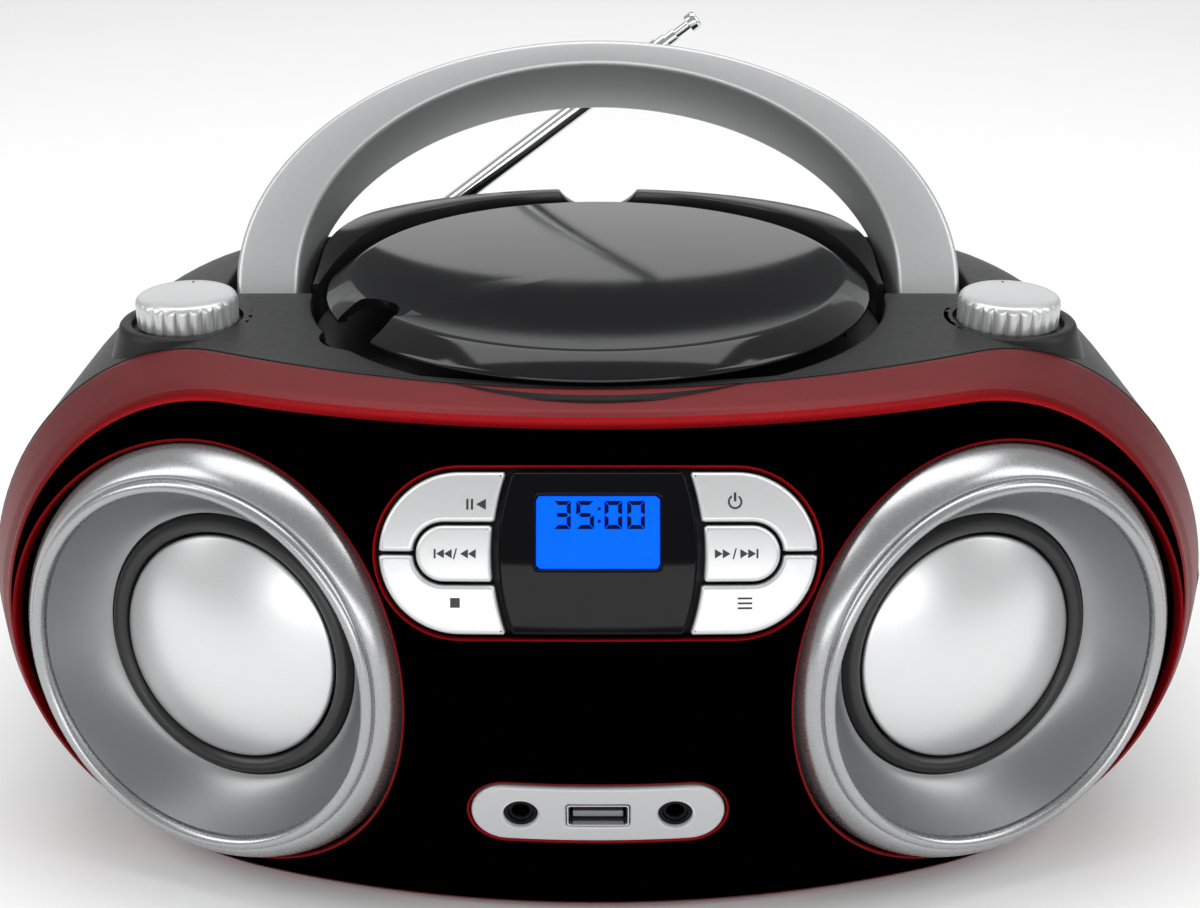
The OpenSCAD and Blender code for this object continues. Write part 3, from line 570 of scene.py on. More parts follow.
def front_shell():
    """Red face with its openings, and the band round it in a browner copy of the red that paints how light
    falls on that upward-facing bevel.
    """
    rows, face_rows = band_rows()
    n = len(OUT_P)
    verts = [v for r in rows for v in r]
    faces = quads(n, len(rows))
    holes = []
    for (o, x, y, nn), lp in front_openings():
        lp = ccw(lp)
        s = len(verts)
        k = len(lp)
        for d, h in ((-0.7, 0.0), (-0.42, -0.05), (-0.18, -0.2), (0.0, -0.6), (0.0, -2.5)):
            for p in inset(lp, d):
                verts.append(barrel_hit(o + x * p[0] + y * p[1], nn, h))
        faces += quads(k, 5, start=s, flip=True)
        holes.append(list(range(s, s + k)))
    outer_uv = [uv_of(verts[i]) for i in range(n)]
    hole_uv = [[uv_of(verts[i]) for i in h] for h in holes]
    pts, tris = patch(outer_uv, hole_uv, 3.4)
    idx = list(range(n)) + [i for h in holes for i in h]
    for u, v in pts[len(idx):]:
        idx.append(len(verts))
        verts.append(from_uv(u, v))
    for t in tris:
        f = tuple(idx[i] for i in t)
        faces.append(f if upwards(pts, t) else f[::-1])
    normals = {i: barrel_normal(verts[i]) for i in idx}
    ob = make("front_shell_skin", verts, [f[::-1] for f in faces], "red", "cabinet", slot="red_shell",
              replaces=["front_shell"], normals=normals)
    # second material: the band's painted-shade copy of the red
    ob.data.materials.append(MAT["band"])
    band_from = (face_rows - 1) * n
    for f in ob.data.polygons:
        if min(f.vertices) >= band_from and max(f.vertices) < len(rows) * n:
            f.material_index = 1


front_shell()

# ---- cabinet behind the band

TOP_SHELL = {"slot": "black_shell", "replaces": ["top_shell"]}
POLE_Z = 57.7                                   # height at which the cabinet closes at the rear
REAR_Y = 97.9


def x_scale(y, v):
    """Width scale behind the origin: squarer towards the bottom of the outline."""
    n = 3 + 3 * min(1.0, max(0.0, (POLE_Z - v) / 40.0))
    return (1 - min(1.0, max(0.0, y) / REAR_Y) ** n) ** (1 / n)


def lower_scale(y):
    """Height scale of the lower half behind the origin: nearly square, with a small rounded rear edge."""
    return (1 - (min(1.0, max(0.0, y) / REAR_Y)) ** 9) ** (1 / 9)


def cabinet_point(p, w):
    """Point of the cabinet. p is as in stadium_param; w is 0 at the band, 1 at y = 0, 2 at the rear pole."""
    x, z = stadium_param(*BACK, p)
    if w <= 1:
        y0 = on_barrel(x, z, -band_depth(x, z) - 0.35).y
        return Vector((x, y0 * (1 - w), z))
    t = (w - 1) * math.pi / 2
    y = REAR_Y * math.sin(t) ** (2 / 3)
    kz = x_scale(y, z) if z >= POLE_Z else lower_scale(y)
    return Vector((x * x_scale(y, z), y, POLE_Z + (z - POLE_Z) * kz))


def cabinet_normal(p, w):
    """Outward normal there, from nearby points."""
    e = 1e-3
    if w > 1.995:
        return Vector((0, 1, 0))
    a, b = cabinet_point(p - e, w), cabinet_point(p + e, w)
    lo, hi = (w - e, w) if w <= 1 else (w, w + e)
    c, d = cabinet_point(p, max(0, lo)), cabinet_point(p, hi if hi > lo else lo + e)
    n = (b - a).cross(d - c)
    return n.normalized() if n.length > 1e-12 else Vector((0, 1, 0))


W_FRONT = [0.0, 0.004, 0.012] + [0.03 + 0.97 * i / 22 for i in range(23)]
W_REAR = [1 + i / 40 for i in range(1, 40)]


def arch_half(half, rise, n=40):
    """Arch outline from the right leg's lower end over the top to the left leg's, in plan."""
    base = PIVOT[0]
    return [(half, base - 12)] + [(half * math.cos(t), base + 14 + rise * math.sin(t))
                                  for t in np.linspace(0, math.pi, n)] + [(-half, base - 12)]


def deck_hole():
    """Outline of the opening in the deck: the disc well joined to the handle's channel."""
    a0 = math.asin(2.0 / 69.2)
    angles = np.linspace(math.pi + a0, 2 * math.pi - a0, 90)
    well = [(69.2 * math.cos(t), WELL[1] + 69.2 * math.sin(t)) for t in angles]
    return well + arch_half(91.8, 64.0, 60)


def plan_to_param(x, y):
    """(p, w) of the deck point above a plan position."""
    if y <= 0:
        k = 1.0
    else:
        k = (1 - (y / REAR_Y) ** 3) ** (1 / 3)
    xx = x / k
    ax = abs(xx)
    if ax <= BACK[0]:
        q = 4 - ax / BACK[0]
    else:
        t = math.acos(min(1.0, (ax - BACK[0]) / BACK[2]))
        q = 1 + (math.degrees(t) + 90) / 90
    p = q if xx >= 0 else 8 - q
    if y <= 0:
        z = stadium_param(*BACK, p)[1]
        y0 = on_barrel(xx, z, -band_depth(xx, z) - 0.35).y
        return p, 1 - y / y0
    t = math.asin(min(1.0, (y / REAR_Y) ** 1.5))
    return p, 1 + t * 2 / math.pi


def deck_metric(p, w):
    """Flat coordinates for triangulating the deck: length round the outline, and length along the cabinet."""
    return (p - 4) * -86.0, (w - 1) * (90.0 if w <= 1 else 115.0)


def shell_half(p0, p1, seam):
    """A grid of the cabinet's surface between two outline parameters, drawn in along the seam."""
    pn = int((p1 - p0) * 30)
    ps = [p0 + (p1 - p0) * i / pn for i in range(pn + 1)]
    ws = W_FRONT + W_REAR
    verts, norm = [], {}
    grid = {}
    for wi, w in enumerate(ws):
        for pi, p in enumerate(ps):
            grid[(wi, pi)] = len(verts)
            norm[len(verts)] = cabinet_normal(p, w)
            v = cabinet_point(p, w)
            if wi == 0:
                v = v - norm[len(verts)] * 0.45
            elif wi == 1:
                v = v - norm[len(verts)] * 0.12
            if pi in (0, pn) and seam:
                v = v + Vector((0, 0, seam)) - norm[len(verts)] * 0.35
            elif pi in (1, pn - 1) and seam:
                v = v + Vector((0, 0, seam * 0.3))
            verts.append(v)
    pole = len(verts)
    verts.append(Vector((0, REAR_Y, POLE_Z + seam)))
    norm[pole] = Vector((0, 1, 0))
    return ps, ws, grid, verts, norm, pole


def grid_quad(g, wi, pi):
    return (g[(wi, pi)], g[(wi + 1, pi)], g[(wi + 1, pi + 1)], g[(wi, pi + 1)])


def thicken(ob, depth):
    """Gives an open skin a wall of real thickness, towards the inside."""
    mod = ob.modifiers.new("wall", "SOLIDIFY")
    mod.thickness = depth * MM
    mod.offset = -1
    mod.use_rim = True
    apply_mods(ob)


def apply_mods(ob):
    """Replaces the mesh with what its modifiers make of it."""
    dg = bpy.context.evaluated_depsgraph_get()
    me = bpy.data.meshes.new_from_object(ob.evaluated_get(dg), preserve_all_data_layers=True, depsgraph=dg)
    old = ob.data
    ob.modifiers.clear()
    ob.data = me
    bpy.data.meshes.remove(old)


def cut(ob, verts, faces):
    """Subtracts a closed solid given in millimetres."""
    me = bpy.data.meshes.new("cutter")
    me.from_pydata([tuple(c * MM for c in v) for v in verts], [], faces)
    me.update()
    tool = bpy.data.objects.new("cutter", me)
    bpy.context.scene.collection.objects.link(tool)
    mod = ob.modifiers.new("cut", "BOOLEAN")
    mod.operation = "DIFFERENCE"
    mod.solver = "EXACT"
    mod.object = tool
    bpy.context.view_layer.update()
    apply_mods(ob)
    bpy.data.objects.remove(tool)
    bpy.data.meshes.remove(me)


def block(lo, hi):
    """Vertices and faces of an axis-aligned box."""
    (x0, y0), (x1, y1) = lo[:2], hi[:2]
    v = [(x, y, z) for z in (lo[2], hi[2]) for x, y in ((x0, y0), (x1, y0), (x1, y1), (x0, y1))]
    return v, [(0, 3, 2, 1), (4, 5, 6, 7), (0, 1, 5, 4), (1, 2, 6, 5), (2, 3, 7, 6), (3, 0, 4, 7)]


def round_bar(a, b, r, seg=48):
    """Vertices and faces of a round bar between two points."""
    a, b = Vector(a), Vector(b)
    n = (b - a).normalized()
    x = n.orthogonal().normalized()
    y = n.cross(x)
    v = [a + x * c + y * s for c, s in circle(r, seg)]
    v += [p + (b - a) for p in v]
    f = [(i, (i + 1) % seg, seg + (i + 1) % seg, seg + i) for i in range(seg)]
    f += [tuple(range(seg))[::-1], tuple(range(seg, 2 * seg))]
    return v, f


def rear_half():
    """Lower shell: from the seam at one side under the bottom to the seam at the other side."""
    ps, ws, g, verts, norm, pole = shell_half(-2.0, 2.0, -0.22)
    faces = [grid_quad(g, wi, pi)[::-1] for wi in range(len(ws) - 1) for pi in range(len(ps) - 1)]
    last = len(ws) - 1
    faces += [(g[(last, pi)], g[(last, pi + 1)], pole) for pi in range(len(ps) - 1)]
    ob = make("rear_shell_skin", verts, [f[::-1] for f in faces], "shell", "cabinet", slot="black_shell",
              replaces=["rear_shell"], angle=180)
    thicken(ob, 2.4)
    return ob


def top_half():
    """Upper shell with the opening for the disc well and the handle's channel."""
    ps, ws, g, verts, norm, pole = shell_half(2.0, 6.0, 0.22)
    np_, nw = len(ps), len(ws)
    # the deck patch covers p between the shoulders and w up to the upper rear
    pa = min(range(np_), key=lambda i: abs(ps[i] - 2.55))
    pb = np_ - 1 - pa
    wa = 3
    wb = min(range(nw), key=lambda i: abs(ws[i] - 1.62))
    faces = []
    for wi in range(nw - 1):
        for pi in range(np_ - 1):
            if pa <= pi < pb and wa <= wi < wb:
                continue
            faces.append(grid_quad(g, wi, pi)[::-1])
    last = nw - 1
    faces += [(g[(last, pi)], g[(last, pi + 1)], pole) for pi in range(np_ - 1)]
    rim = [(wa, pi) for pi in range(pa, pb)] + [(wi, pb) for wi in range(wa, wb)] + \
          [(wb, pi) for pi in range(pb, pa, -1)] + [(wi, pa) for wi in range(wb, wa, -1)]
    outer_idx = [g[k] for k in rim]
    outer = [deck_metric(ps[k[1]], ws[k[0]]) for k in rim]
    loop = ccw(resample(deck_hole(), 2.0))
    s = len(verts)
    k = len(loop)
    lay = [(-0.9, 0.0), (-0.5, -0.08), (-0.18, -0.3), (0.0, -0.75), (0.0, None)]
    for d, h in lay:
        for (x, y) in inset(loop, d):
            pp, ww = plan_to_param(x, y)
            v = cabinet_point(pp, ww)
            if h is None:
                v = Vector((v.x, v.y, 82.8))
            else:
                v = v + Vector((0, 0, h))
            if d == -0.9:
                norm[len(verts)] = cabinet_normal(pp, ww)
            verts.append(v)
    faces += quads(k, len(lay), start=s, flip=True)
    faces.append(tuple(s + (len(lay) - 1) * k + i for i in range(k)))
    hole = [deck_metric(*plan_to_param(x, y)) for (x, y) in inset(loop, -0.9)]
    pts, tris = patch(outer, [hole], 4.0)
    idx = outer_idx + list(range(s, s + k))
    for (u, v) in pts[len(idx):]:
        pp = 4 - u / 86.0
        ww = 1 + (v / 90.0 if v <= 0 else v / 115.0)
        norm[len(verts)] = cabinet_normal(pp, ww)
        idx.append(len(verts))
        verts.append(cabinet_point(pp, ww))
    for t in tris:
        a, b, c = (verts[idx[i]] for i in t[:3])
        f = tuple(idx[i] for i in t)
        out = norm.get(idx[t[0]], Vector((0, 0, 1)))
        faces.append(f if (b - a).cross(c - a).dot(out) > 0 else f[::-1])
    ob = make("top_shell_skin", verts, [f[::-1] for f in faces], "shell", "cabinet", angle=40, **TOP_SHELL)
    thicken(ob, 1.6)
    return ob


rear = rear_half()
cut(rear, *block((-73.4, 82, 9.6), (73.4, 120, 41.4)))
cut(rear, *block((85.8, 58, 16.8), (108.2, 120, 31.2)))
for px, py in ((-112, -10), (112, -10), (-104, 44), (104, 44)):
    cut(rear, *round_bar((px, py, -2), (px, py, 14), 3.3))
rear.data.set_sharp_from_angle(angle=math.radians(30))
top = top_half()
cut(top, *block((-150, 88.4, 81), (150, 120, 130)))
for kx, ky in KNOBS:
    cut(top, *round_bar((kx, ky, 113.4), (kx, ky, 130), 12.7, 96))
SCOOP_AT = math.radians(212)
SCOOP = (WELL[0] + 63.0 * math.cos(SCOOP_AT), WELL[1] + 63.0 * math.sin(SCOOP_AT))
cut(top, *round_bar((*SCOOP, 108.5), (*SCOOP, 130), 9.6, 96))
top.data.set_sharp_from_angle(angle=math.radians(40))

# ---- battery door and antenna ledge


def skin_y(x, z):
    """How far back the cabinet's rear surface is at a given x and height."""
    lo, hi = 0.0, REAR_Y
    for _ in range(30):
        y = (lo + hi) / 2
        kz = x_scale(y, POLE_Z) if z >= POLE_Z else lower_scale(y)
        v = POLE_Z + (z - POLE_Z) / max(kz, 1e-6)
        u = abs(x) / max(x_scale(y, v), 1e-6)
        if math.hypot(max(0.0, u - BACK[0]), v - BACK[1]) > BACK[2]:
            hi = y
        else:
            lo = y
    return lo


def door():
    """Battery door that follows the rear surface, with rounded edges and a ribbed thumb grip."""
    xs, zs = np.linspace(-72.9, 72.9, 74), np.linspace(10.0, 41.0, 94)
    nx, nz = len(xs), len(zs)
    verts = []
    for depth in (0.0, 1.8):
        for z in zs:
            for x in xs:
                edge = min(72.9 - abs(x), z - 10.0, 41.0 - z)
                drop = 0.35 * max(0.0, 1 - edge / 0.7) ** 2 if depth == 0.0 else 0.0
                if depth == 0.0 and abs(x) < 15 and 29.5 < z < 37.5:
                    fade = min(1.0, (15 - abs(x)) / 2)
                    drop += 0.45 * fade * (0.5 + 0.5 * math.sin(2 * math.pi * (z - 29.5) / 2.0 - math.pi / 2))
                verts.append((x, skin_y(x, z) - depth - drop, z))
    size = nx * nz
    faces = []
    for j in range(nz - 1):
        for i in range(nx - 1):
            q = (j * nx + i, (j + 1) * nx + i, (j + 1) * nx + i + 1, j * nx + i + 1)
            faces += [q, tuple(v + size for v in q[::-1])]
    rim = list(range(nx)) + [j * nx + nx - 1 for j in range(1, nz)] + \
        [(nz - 1) * nx + i for i in range(nx - 2, -1, -1)] + [j * nx for j in range(nz - 2, 0, -1)]
    for m, v in enumerate(rim):
        w = rim[(m + 1) % len(rim)]
        faces.append((v, w, w + size, v + size))
    make("battery_door_panel", verts, faces, "shell", "battery_door", slot="black_shell",
         replaces=["battery_door"], angle=50)


def slab(name, front, back, mat):
    """Closed plate between two outlines with the same number of points."""
    k = len(front)
    faces = quads(k, 2) + [tuple(range(k))[::-1], tuple(range(k, 2 * k))]
    make(name, front + back, faces, mat, "cabinet", angle=30, **TOP_SHELL)


def ledge():
    """Wall and floor of the step that the folded antenna lies over, and the boss under its swivel."""
    w = 1 + math.asin((88.35 / REAR_Y) ** 1.5) * 2 / math.pi
    curve = [cabinet_point(p, w) for p in np.linspace(2.02, 5.98, 120)]
    curve = [(v.x, v.z - 0.25) for v in curve if v.z > 81.2]
    top_line = [(curve[0][0], 79.6)] + curve + [(curve[-1][0], 79.6)]
    slab("ledge_wall", [(x, 88.4, z) for x, z in top_line], [(x, 86.9, z) for x, z in top_line], "shell")
    edge = []
    for y in np.linspace(88.4, REAR_Y, 60):
        k = (1 - min(1.0, y / REAR_Y) ** 3) ** (1 / 3)
        v = (81.0 - POLE_Z) / max(k, 1e-6) + POLE_Z - BACK[1]
        if v < BACK[2]:
            edge.append((k * (BACK[0] + math.sqrt(BACK[2] ** 2 - v * v)) - 0.3, y - 0.2))
    loop = edge + [(max(-x, -70.0), y) for x, y in edge[::-1]]
    slab("ledge_floor", [(x, y, 79.4) for x, y in loop], [(x, y, 81.0) for x, y in loop], "shell")
    boss = [(4.1, 69.6), (4.9, 69.4), (5.5, 69.9), (5.8, 70.8), (5.8, 80.2), (5.6, 80.7), (5.2, 81.0),
            (4.1, 81.0)]
    lathe("swivel_boss", boss, upright(-75.0, 92.0, 0.0), "shell", "cabinet", seg=64, angle=40, **TOP_SHELL)


door()
ledge()

# ---- speakers


def box_at(place, lo, hi, bevel=0.0):
    """Vertices and faces of a box in a place's axes, with its outer edges chamfered."""
    o, x, y, n = place
    loop = [(lo[0], lo[1]), (hi[0], lo[1]), (hi[0], hi[1]), (lo[0], hi[1])]
    if bevel:
        loop = round_corners(loop, bevel, n=3)
    rows = [(bevel * 0.5, lo[2]), (0, lo[2] + bevel * 0.5), (0, hi[2] - bevel * 0.5), (bevel * 0.5, hi[2])]
    if not bevel:
        rows = [(0, lo[2]), (0, hi[2])]
    verts, k = [], len(loop)
    for d, h in rows:
        verts += [o + x * p[0] + y * p[1] + n * h for p in (inset(loop, d) if d else loop)]
    faces = quads(k, len(rows))
    faces += [tuple(range(k))[::-1], tuple(range(len(verts) - k, len(verts)))]
    return verts, faces


def joined(*solids):
    """One list of vertices and one of faces from several closed solids."""
    verts, faces = [], []
    for v, f in solids:
        s = len(verts)
        verts += list(v)
        faces += [tuple(i + s for i in q) for q in f]
    return verts, faces


def speaker(side, word):
    """Trim ring with its dish, rubber roll, cap and cone. Profiles are (radius, height over the face)."""
    at = face_frame(side * SPEAKER[0], SPEAKER[1])
    trim = {"slot": "silver_trim", "replaces": [word + "_trim_ring"]}
    cone = {"slot": "silver_trim", "replaces": [word + "_cone"]}
    rim = [(45.9, -15.2), (48.2, -15.2), (48.6, -14.6), (48.6, -12.2), (48.4, -10.9), (48.0, -9.6),
           (47.4, -8.3), (46.7, -7.1), (45.9, -6.0), (45.0, -5.0), (44.2, -4.4), (43.6, -4.15), (43.1, -4.3)]
    rim += arc(41.6, -4.0, 1.4, 0, 170, 14) + [(40.2, -4.9), (40.6, -8.0), (43.5, -11.0)]
    lathe(word + "_ring_bezel", rim, at, "ring", "cabinet", seg=160, angle=60, **trim)
    dish = [(31.2, -19.4), (33.2, -19.4), (36.8, -16.6), (40.0, -12.0), (41.2, -6.6), (40.9, -5.0),
            (40.4, -4.75)]
    dish += [(40.4 - 9 * u, -4.7 - 12.4 * (1 - (1 - u) ** 1.6)) for u in np.linspace(0.04, 1, 18)]
    lathe(word + "_ring_dish", dish, at, "dish", "cabinet", seg=160, angle=50, **trim)
    roll = [(26.9, -19.3), (31.0, -19.3), (31.1, -18.9), (31.1, -17.4), (30.9, -17.1)]
    roll += arc(28.85, -17.4, 1.95, 12, 172, 14) + [(26.75, -18.0)]
    lathe(word + "_roll", roll, at, "rubber", "cabinet", seg=160, angle=60, slot="rubber",
          replaces=[word + "_surround"])
    ball = 69.6
    cap = [(0.0, -12.2), (25.2, -17.4), (26.0, -17.5), (26.35, -17.2), (26.4, -16.7), (26.2, -16.35)]
    cap += [(r, -11.2 - ball + math.sqrt(ball * ball - r * r)) for r in np.linspace(25.6, 0.0, 26)]
    lathe(word + "_cone_cap", cap, at, "cap", word + "_cone", seg=128, angle=50, **cone)
    coil = [(8.0, -38.0), (9.0, -38.0), (9.0, -32.0), (17.5, -24.6), (25.9, -17.6), (25.0, -17.6),
            (16.8, -24.6), (8.0, -31.4)]
    lathe(word + "_cone_paper", coil, at, "plastic", word + "_cone", seg=96, angle=40, **cone)


speaker(-1, "left")
speaker(1, "right")

# ---- display and buttons

CLUSTER = face_frame(0, CLUSTER_EL)


def window_x(y, gap=0.0):
    """Bowed side of the window, moved out by gap."""
    return -30.4 + math.sqrt((50.6 + gap) ** 2 - y * y)


def mirrored(loop, side):
    return [(side * x, y) for x, y in loop]


def outer_loop():
    """Upper right button: beside the window, round the end of the cluster and over the middle button."""
    end = [(28.3 + 16.5 * math.cos(t), 16.5 * math.sin(t)) for t in np.linspace(math.pi / 2, 0.0212, 30)]
    mid = [(31.4 + 6.4 * math.cos(t), 6.4 * math.sin(t)) for t in np.linspace(0.0547, math.pi / 2, 16)]
    side = [(window_x(y, 1.2), y) for y in np.linspace(6.4, 16.5, 12)]
    return round_corners(ccw(end + mid + side), 0.55, limit=40)


def middle_loop():
    """Middle button: round at its outer end."""
    turn = np.linspace(-math.pi / 2, math.pi / 2, 24)
    right = [(31.4 + 5.7 * math.cos(t), 5.7 * math.sin(t)) for t in turn]
    left = [(window_x(y, 1.2) + 0.35, y) for y in np.linspace(5.7, -5.7, 8)]
    return round_corners(ccw(right + left), 0.55, limit=40)


def button_layers(h):
    """(inset, height) from a button's back to its rounded top."""
    return [(0, -4.0), (0, h - 1.0), (0.06, h - 0.62), (0.22, h - 0.32), (0.5, h - 0.1), (0.95, h)]


def key(name, side, up):
    """One button: up is 1 for the upper ones, -1 for the lower ones, 0 for the middle. Returns its height."""
    h = 1.5 if up == 0 else 1.2
    base = middle_loop() if up == 0 else [(x, y * up) for x, y in outer_loop()]
    loop = ccw(mirrored(ccw(resample(base, 0.8)), side))
    pad(name + "_key", loop, button_layers(h), CLUSTER, "button", name, slot="silver_trim", replaces=[name])
    return h


def triangle(x, y, w, h, d):
    """Triangle with its upright side at x, pointing right where d is 1 and left where it is -1."""
    return [(x, y - h / 2), (x, y + h / 2), (x + w * d, y)]


def bar(x0, x1, y0, y1, lean=0.0):
    """Rectangle, or a slanted one."""
    return [(x0 - lean, y0), (x1 - lean, y0), (x1 + lean, y1), (x0 + lean, y1)]


# Each button's side, its place (1 upper, 0 middle, -1 lower) and the shapes printed on it.
ICONS = {
    "play_button": (-1, 1, [bar(-26.7, -26.25, 8.9, 11.1), bar(-25.75, -25.3, 8.9, 11.1),
                            triangle(-22.7, 10.0, 2.0, 2.2, -1)]),
    "stop_button": (-1, -1, [bar(-30.0, -28.0, -11.0, -9.0)]),
    "back_button": (-1, 0, [bar(-33.3, -32.9, -0.95, 0.95), triangle(-31.2, 0, 1.6, 1.9, -1),
                            triangle(-29.6, 0, 1.6, 1.9, -1), bar(-29.1, -28.8, -1.1, 1.1, 0.3),
                            triangle(-26.3, 0, 1.6, 1.9, -1), triangle(-24.7, 0, 1.6, 1.9, -1)]),
    "next_button": (1, 0, [triangle(23.6, 0, 1.6, 1.9, 1), triangle(25.2, 0, 1.6, 1.9, 1),
                           bar(27.5, 27.8, -1.1, 1.1, 0.3), triangle(28.8, 0, 1.6, 1.9, 1),
                           triangle(30.4, 0, 1.6, 1.9, 1), bar(32.1, 32.5, -0.95, 0.95)]),
    "power_button": (1, 1, [bar(27.55, 28.05, 10.6, 12.4)]),
    "mode_button": (1, -1, [bar(28.3, 31.3, -9.3, -8.9), bar(28.3, 31.3, -10.3, -9.9),
                            bar(28.3, 31.3, -11.3, -10.9)]),
}
for button_name, (side, up, marks) in ICONS.items():
    height = key(button_name, side, up)
    flat_icon(button_name + "_mark", marks, CLUSTER, height, "icon", button_name)
turn = np.linspace(math.radians(120), math.radians(420), 20)
flat_icon("power_ring", [[(27.8 + 1.5 * math.cos(t), 10.5 + 1.5 * math.sin(t)) for t in turn] +
                         [(27.8 + 1.1 * math.cos(t), 10.5 + 1.1 * math.sin(t)) for t in turn[::-1]]],
          CLUSTER, 1.2, "icon", "power_button")

glass = [(window_x(y), y) for y in np.linspace(-16.5, 16.5, 40)]
glass += [(-x, y) for x, y in glass[::-1]]
hole = round_corners([(-12.7, -3.2), (12.7, -3.2), (12.7, 11.8), (-12.7, 11.8)], 0.8)
pad("window_glass", resample(round_corners(glass, 0.5, limit=40), 0.9),
    [(0, -3.0), (0, 0.0), (0.08, 0.3), (0.3, 0.52), (0.6, 0.6)], CLUSTER, "window", "cabinet",
    holes=[resample(hole, 0.8)], slot="gloss_black", replaces=["display_window"])
pad("lcd_glass", resample(inset(hole, 0.15), 1.2), [(0, -2.6), (0, 0.15), (0.2, 0.3)], CLUSTER, "lcd",
    "cabinet", slot="lcd", replaces=["lcd_panel"])

SEGMENTS = {"3": "abgcd", "5": "afgcd", "0": "abcdef"}


def digit(ch, x0, x1, y0=5.0, y1=10.7, w=0.85, gap=0.10):
    """Seven-segment figure as separate slanted-end bars."""
    ym = (y0 + y1) / 2
    g = gap
    shapes = {
        "a": [(x0 + g, y1), (x1 - g, y1), (x1 - w - g, y1 - w), (x0 + w + g, y1 - w)],
        "d": [(x0 + g, y0), (x1 - g, y0), (x1 - w - g, y0 + w), (x0 + w + g, y0 + w)],
        "g": [(x0 + w / 2 + g, ym), (x0 + w + g, ym + w / 2), (x1 - w - g, ym + w / 2), (x1 - w / 2 - g, ym),
              (x1 - w - g, ym - w / 2), (x0 + w + g, ym - w / 2)],
        "b": [(x1, y1 - g), (x1, ym + g), (x1 - w, ym + w / 2 + g), (x1 - w, y1 - w - g)],
        "c": [(x1, y0 + g), (x1, ym - g), (x1 - w, ym - w / 2 - g), (x1 - w, y0 + w + g)],
        "f": [(x0, y1 - g), (x0, ym + g), (x0 + w, ym + w / 2 + g), (x0 + w, y1 - w - g)],
        "e": [(x0, y0 + g), (x0, ym - g), (x0 + w, ym - w / 2 - g), (x0 + w, y0 + w + g)],
    }
    return [shapes[s] for s in SEGMENTS[ch]]


figures = digit("3", -9.0, -5.5) + digit("5", -4.4, -0.8) + digit("0", 1.3, 4.9) + digit("0", 5.9, 9.5)
figures += [bar(-0.05, 0.55, 6.3, 6.9), bar(-0.05, 0.55, 8.8, 9.4)]
flat_icon("lcd_figures", figures, CLUSTER, 0.32, "digit", "cabinet", thick=0.03)

# ---- sockets

PLATE = face_frame(0, PLATE_EL)
JACK_X = 16.35                                  # a jack's distance from the plate's middle


def rectangle(half_x, half_y, r):
    """Counter-clockwise rectangle with rounded corners."""
    corners = [(-half_x, -half_y), (half_x, -half_y), (half_x, half_y), (-half_x, half_y)]
    return round_corners(corners, r)


rounds = [circle(3.75, 40, side * JACK_X) for side in (-1, 1)]
slot_hole = resample(rectangle(6.75, 3.05, 0.7), 0.7)
pad("socket_plate", resample(stadium_loop(26.8, 7.3), 1.0),
    [(0, -2.4), (0, -0.1), (0.1, 0.18), (0.3, 0.38), (0.62, 0.5)], PLATE, "plate", "cabinet",
    holes=rounds + [slot_hole], slot="silver_trim", replaces=["io_plate"])


def jack(side, word):
    """Socket body with its bore, and the lip round it, painted pale grey to stand in for the bright highlight
    on the socket's rim.
    """
    o, x, y, n = PLATE
    at = (o + x * (side * JACK_X), x, y, n)
    inner = {"slot": "inner_plastic", "replaces": [word]}
    body = [(0.0, -17.0), (5.2, -17.0), (5.4, -16.8), (5.4, -6.3), (5.2, -6.0), (3.6, -6.0), (3.6, -1.1),
            (3.4, -0.85), (2.75, -0.8), (2.55, -1.0), (2.45, -1.35), (2.0, -1.45), (1.8, -1.7), (1.8, -15.0),
            (0.0, -15.0)]
    lathe(word + "_body", body, at, "window", "cabinet", seg=64, angle=35, **inner)
    lip = [(3.62, -1.6), (4.25, -1.6), (4.35, -0.5), (4.25, -0.2), (4.05, -0.05), (3.85, -0.12), (3.7, -0.5)]
    # pale lip: painted highlight for the bright rim round the socket
    lathe(word + "_lip", lip, at, "painted_lip_highlight", "cabinet", seg=64, angle=60, **inner)


jack(-1, "aux_jack")
jack(1, "headphone_jack")


USB = {"slot": "steel", "replaces": ["usb_port"]}


def sleeve(name, outer, inner, z0, z1, floor, mat):
    """Hollow box on the socket plate with a rounded mouth, closed at the back."""
    o, x, y, n = PLATE
    a = rectangle(*outer, 0.7)
    b = rectangle(*inner, 0.5)
    rows = [(a, z0), (a, z1 - 0.12), (inset(a, 0.1), z1), (inset(b, -0.08), z1), (b, z1 - 0.12), (b, floor)]
    verts = [o + x * p[0] + y * p[1] + n * z for loop, z in rows for p in loop]
    k = len(a)
    faces = quads(k, len(rows))
    faces += [tuple(range(k))[::-1], tuple(range(len(verts) - k, len(verts)))]
    make(name, verts, faces, mat, "cabinet", **USB)


sleeve("usb_shell", (6.6, 2.9), (6.2, 2.5), -16.0, 0.2, -15.4, "socket")
sleeve("usb_liner", (6.15, 2.45), (5.95, 2.25), -15.3, -1.4, -14.8, "plastic")
make("usb_tongue", *box_at(PLATE, (-5.4, -1.9, -14.7), (5.4, -0.3, -1.6), 0.3), "dish", "cabinet", **USB)

# ---- disc well, lid and knobs

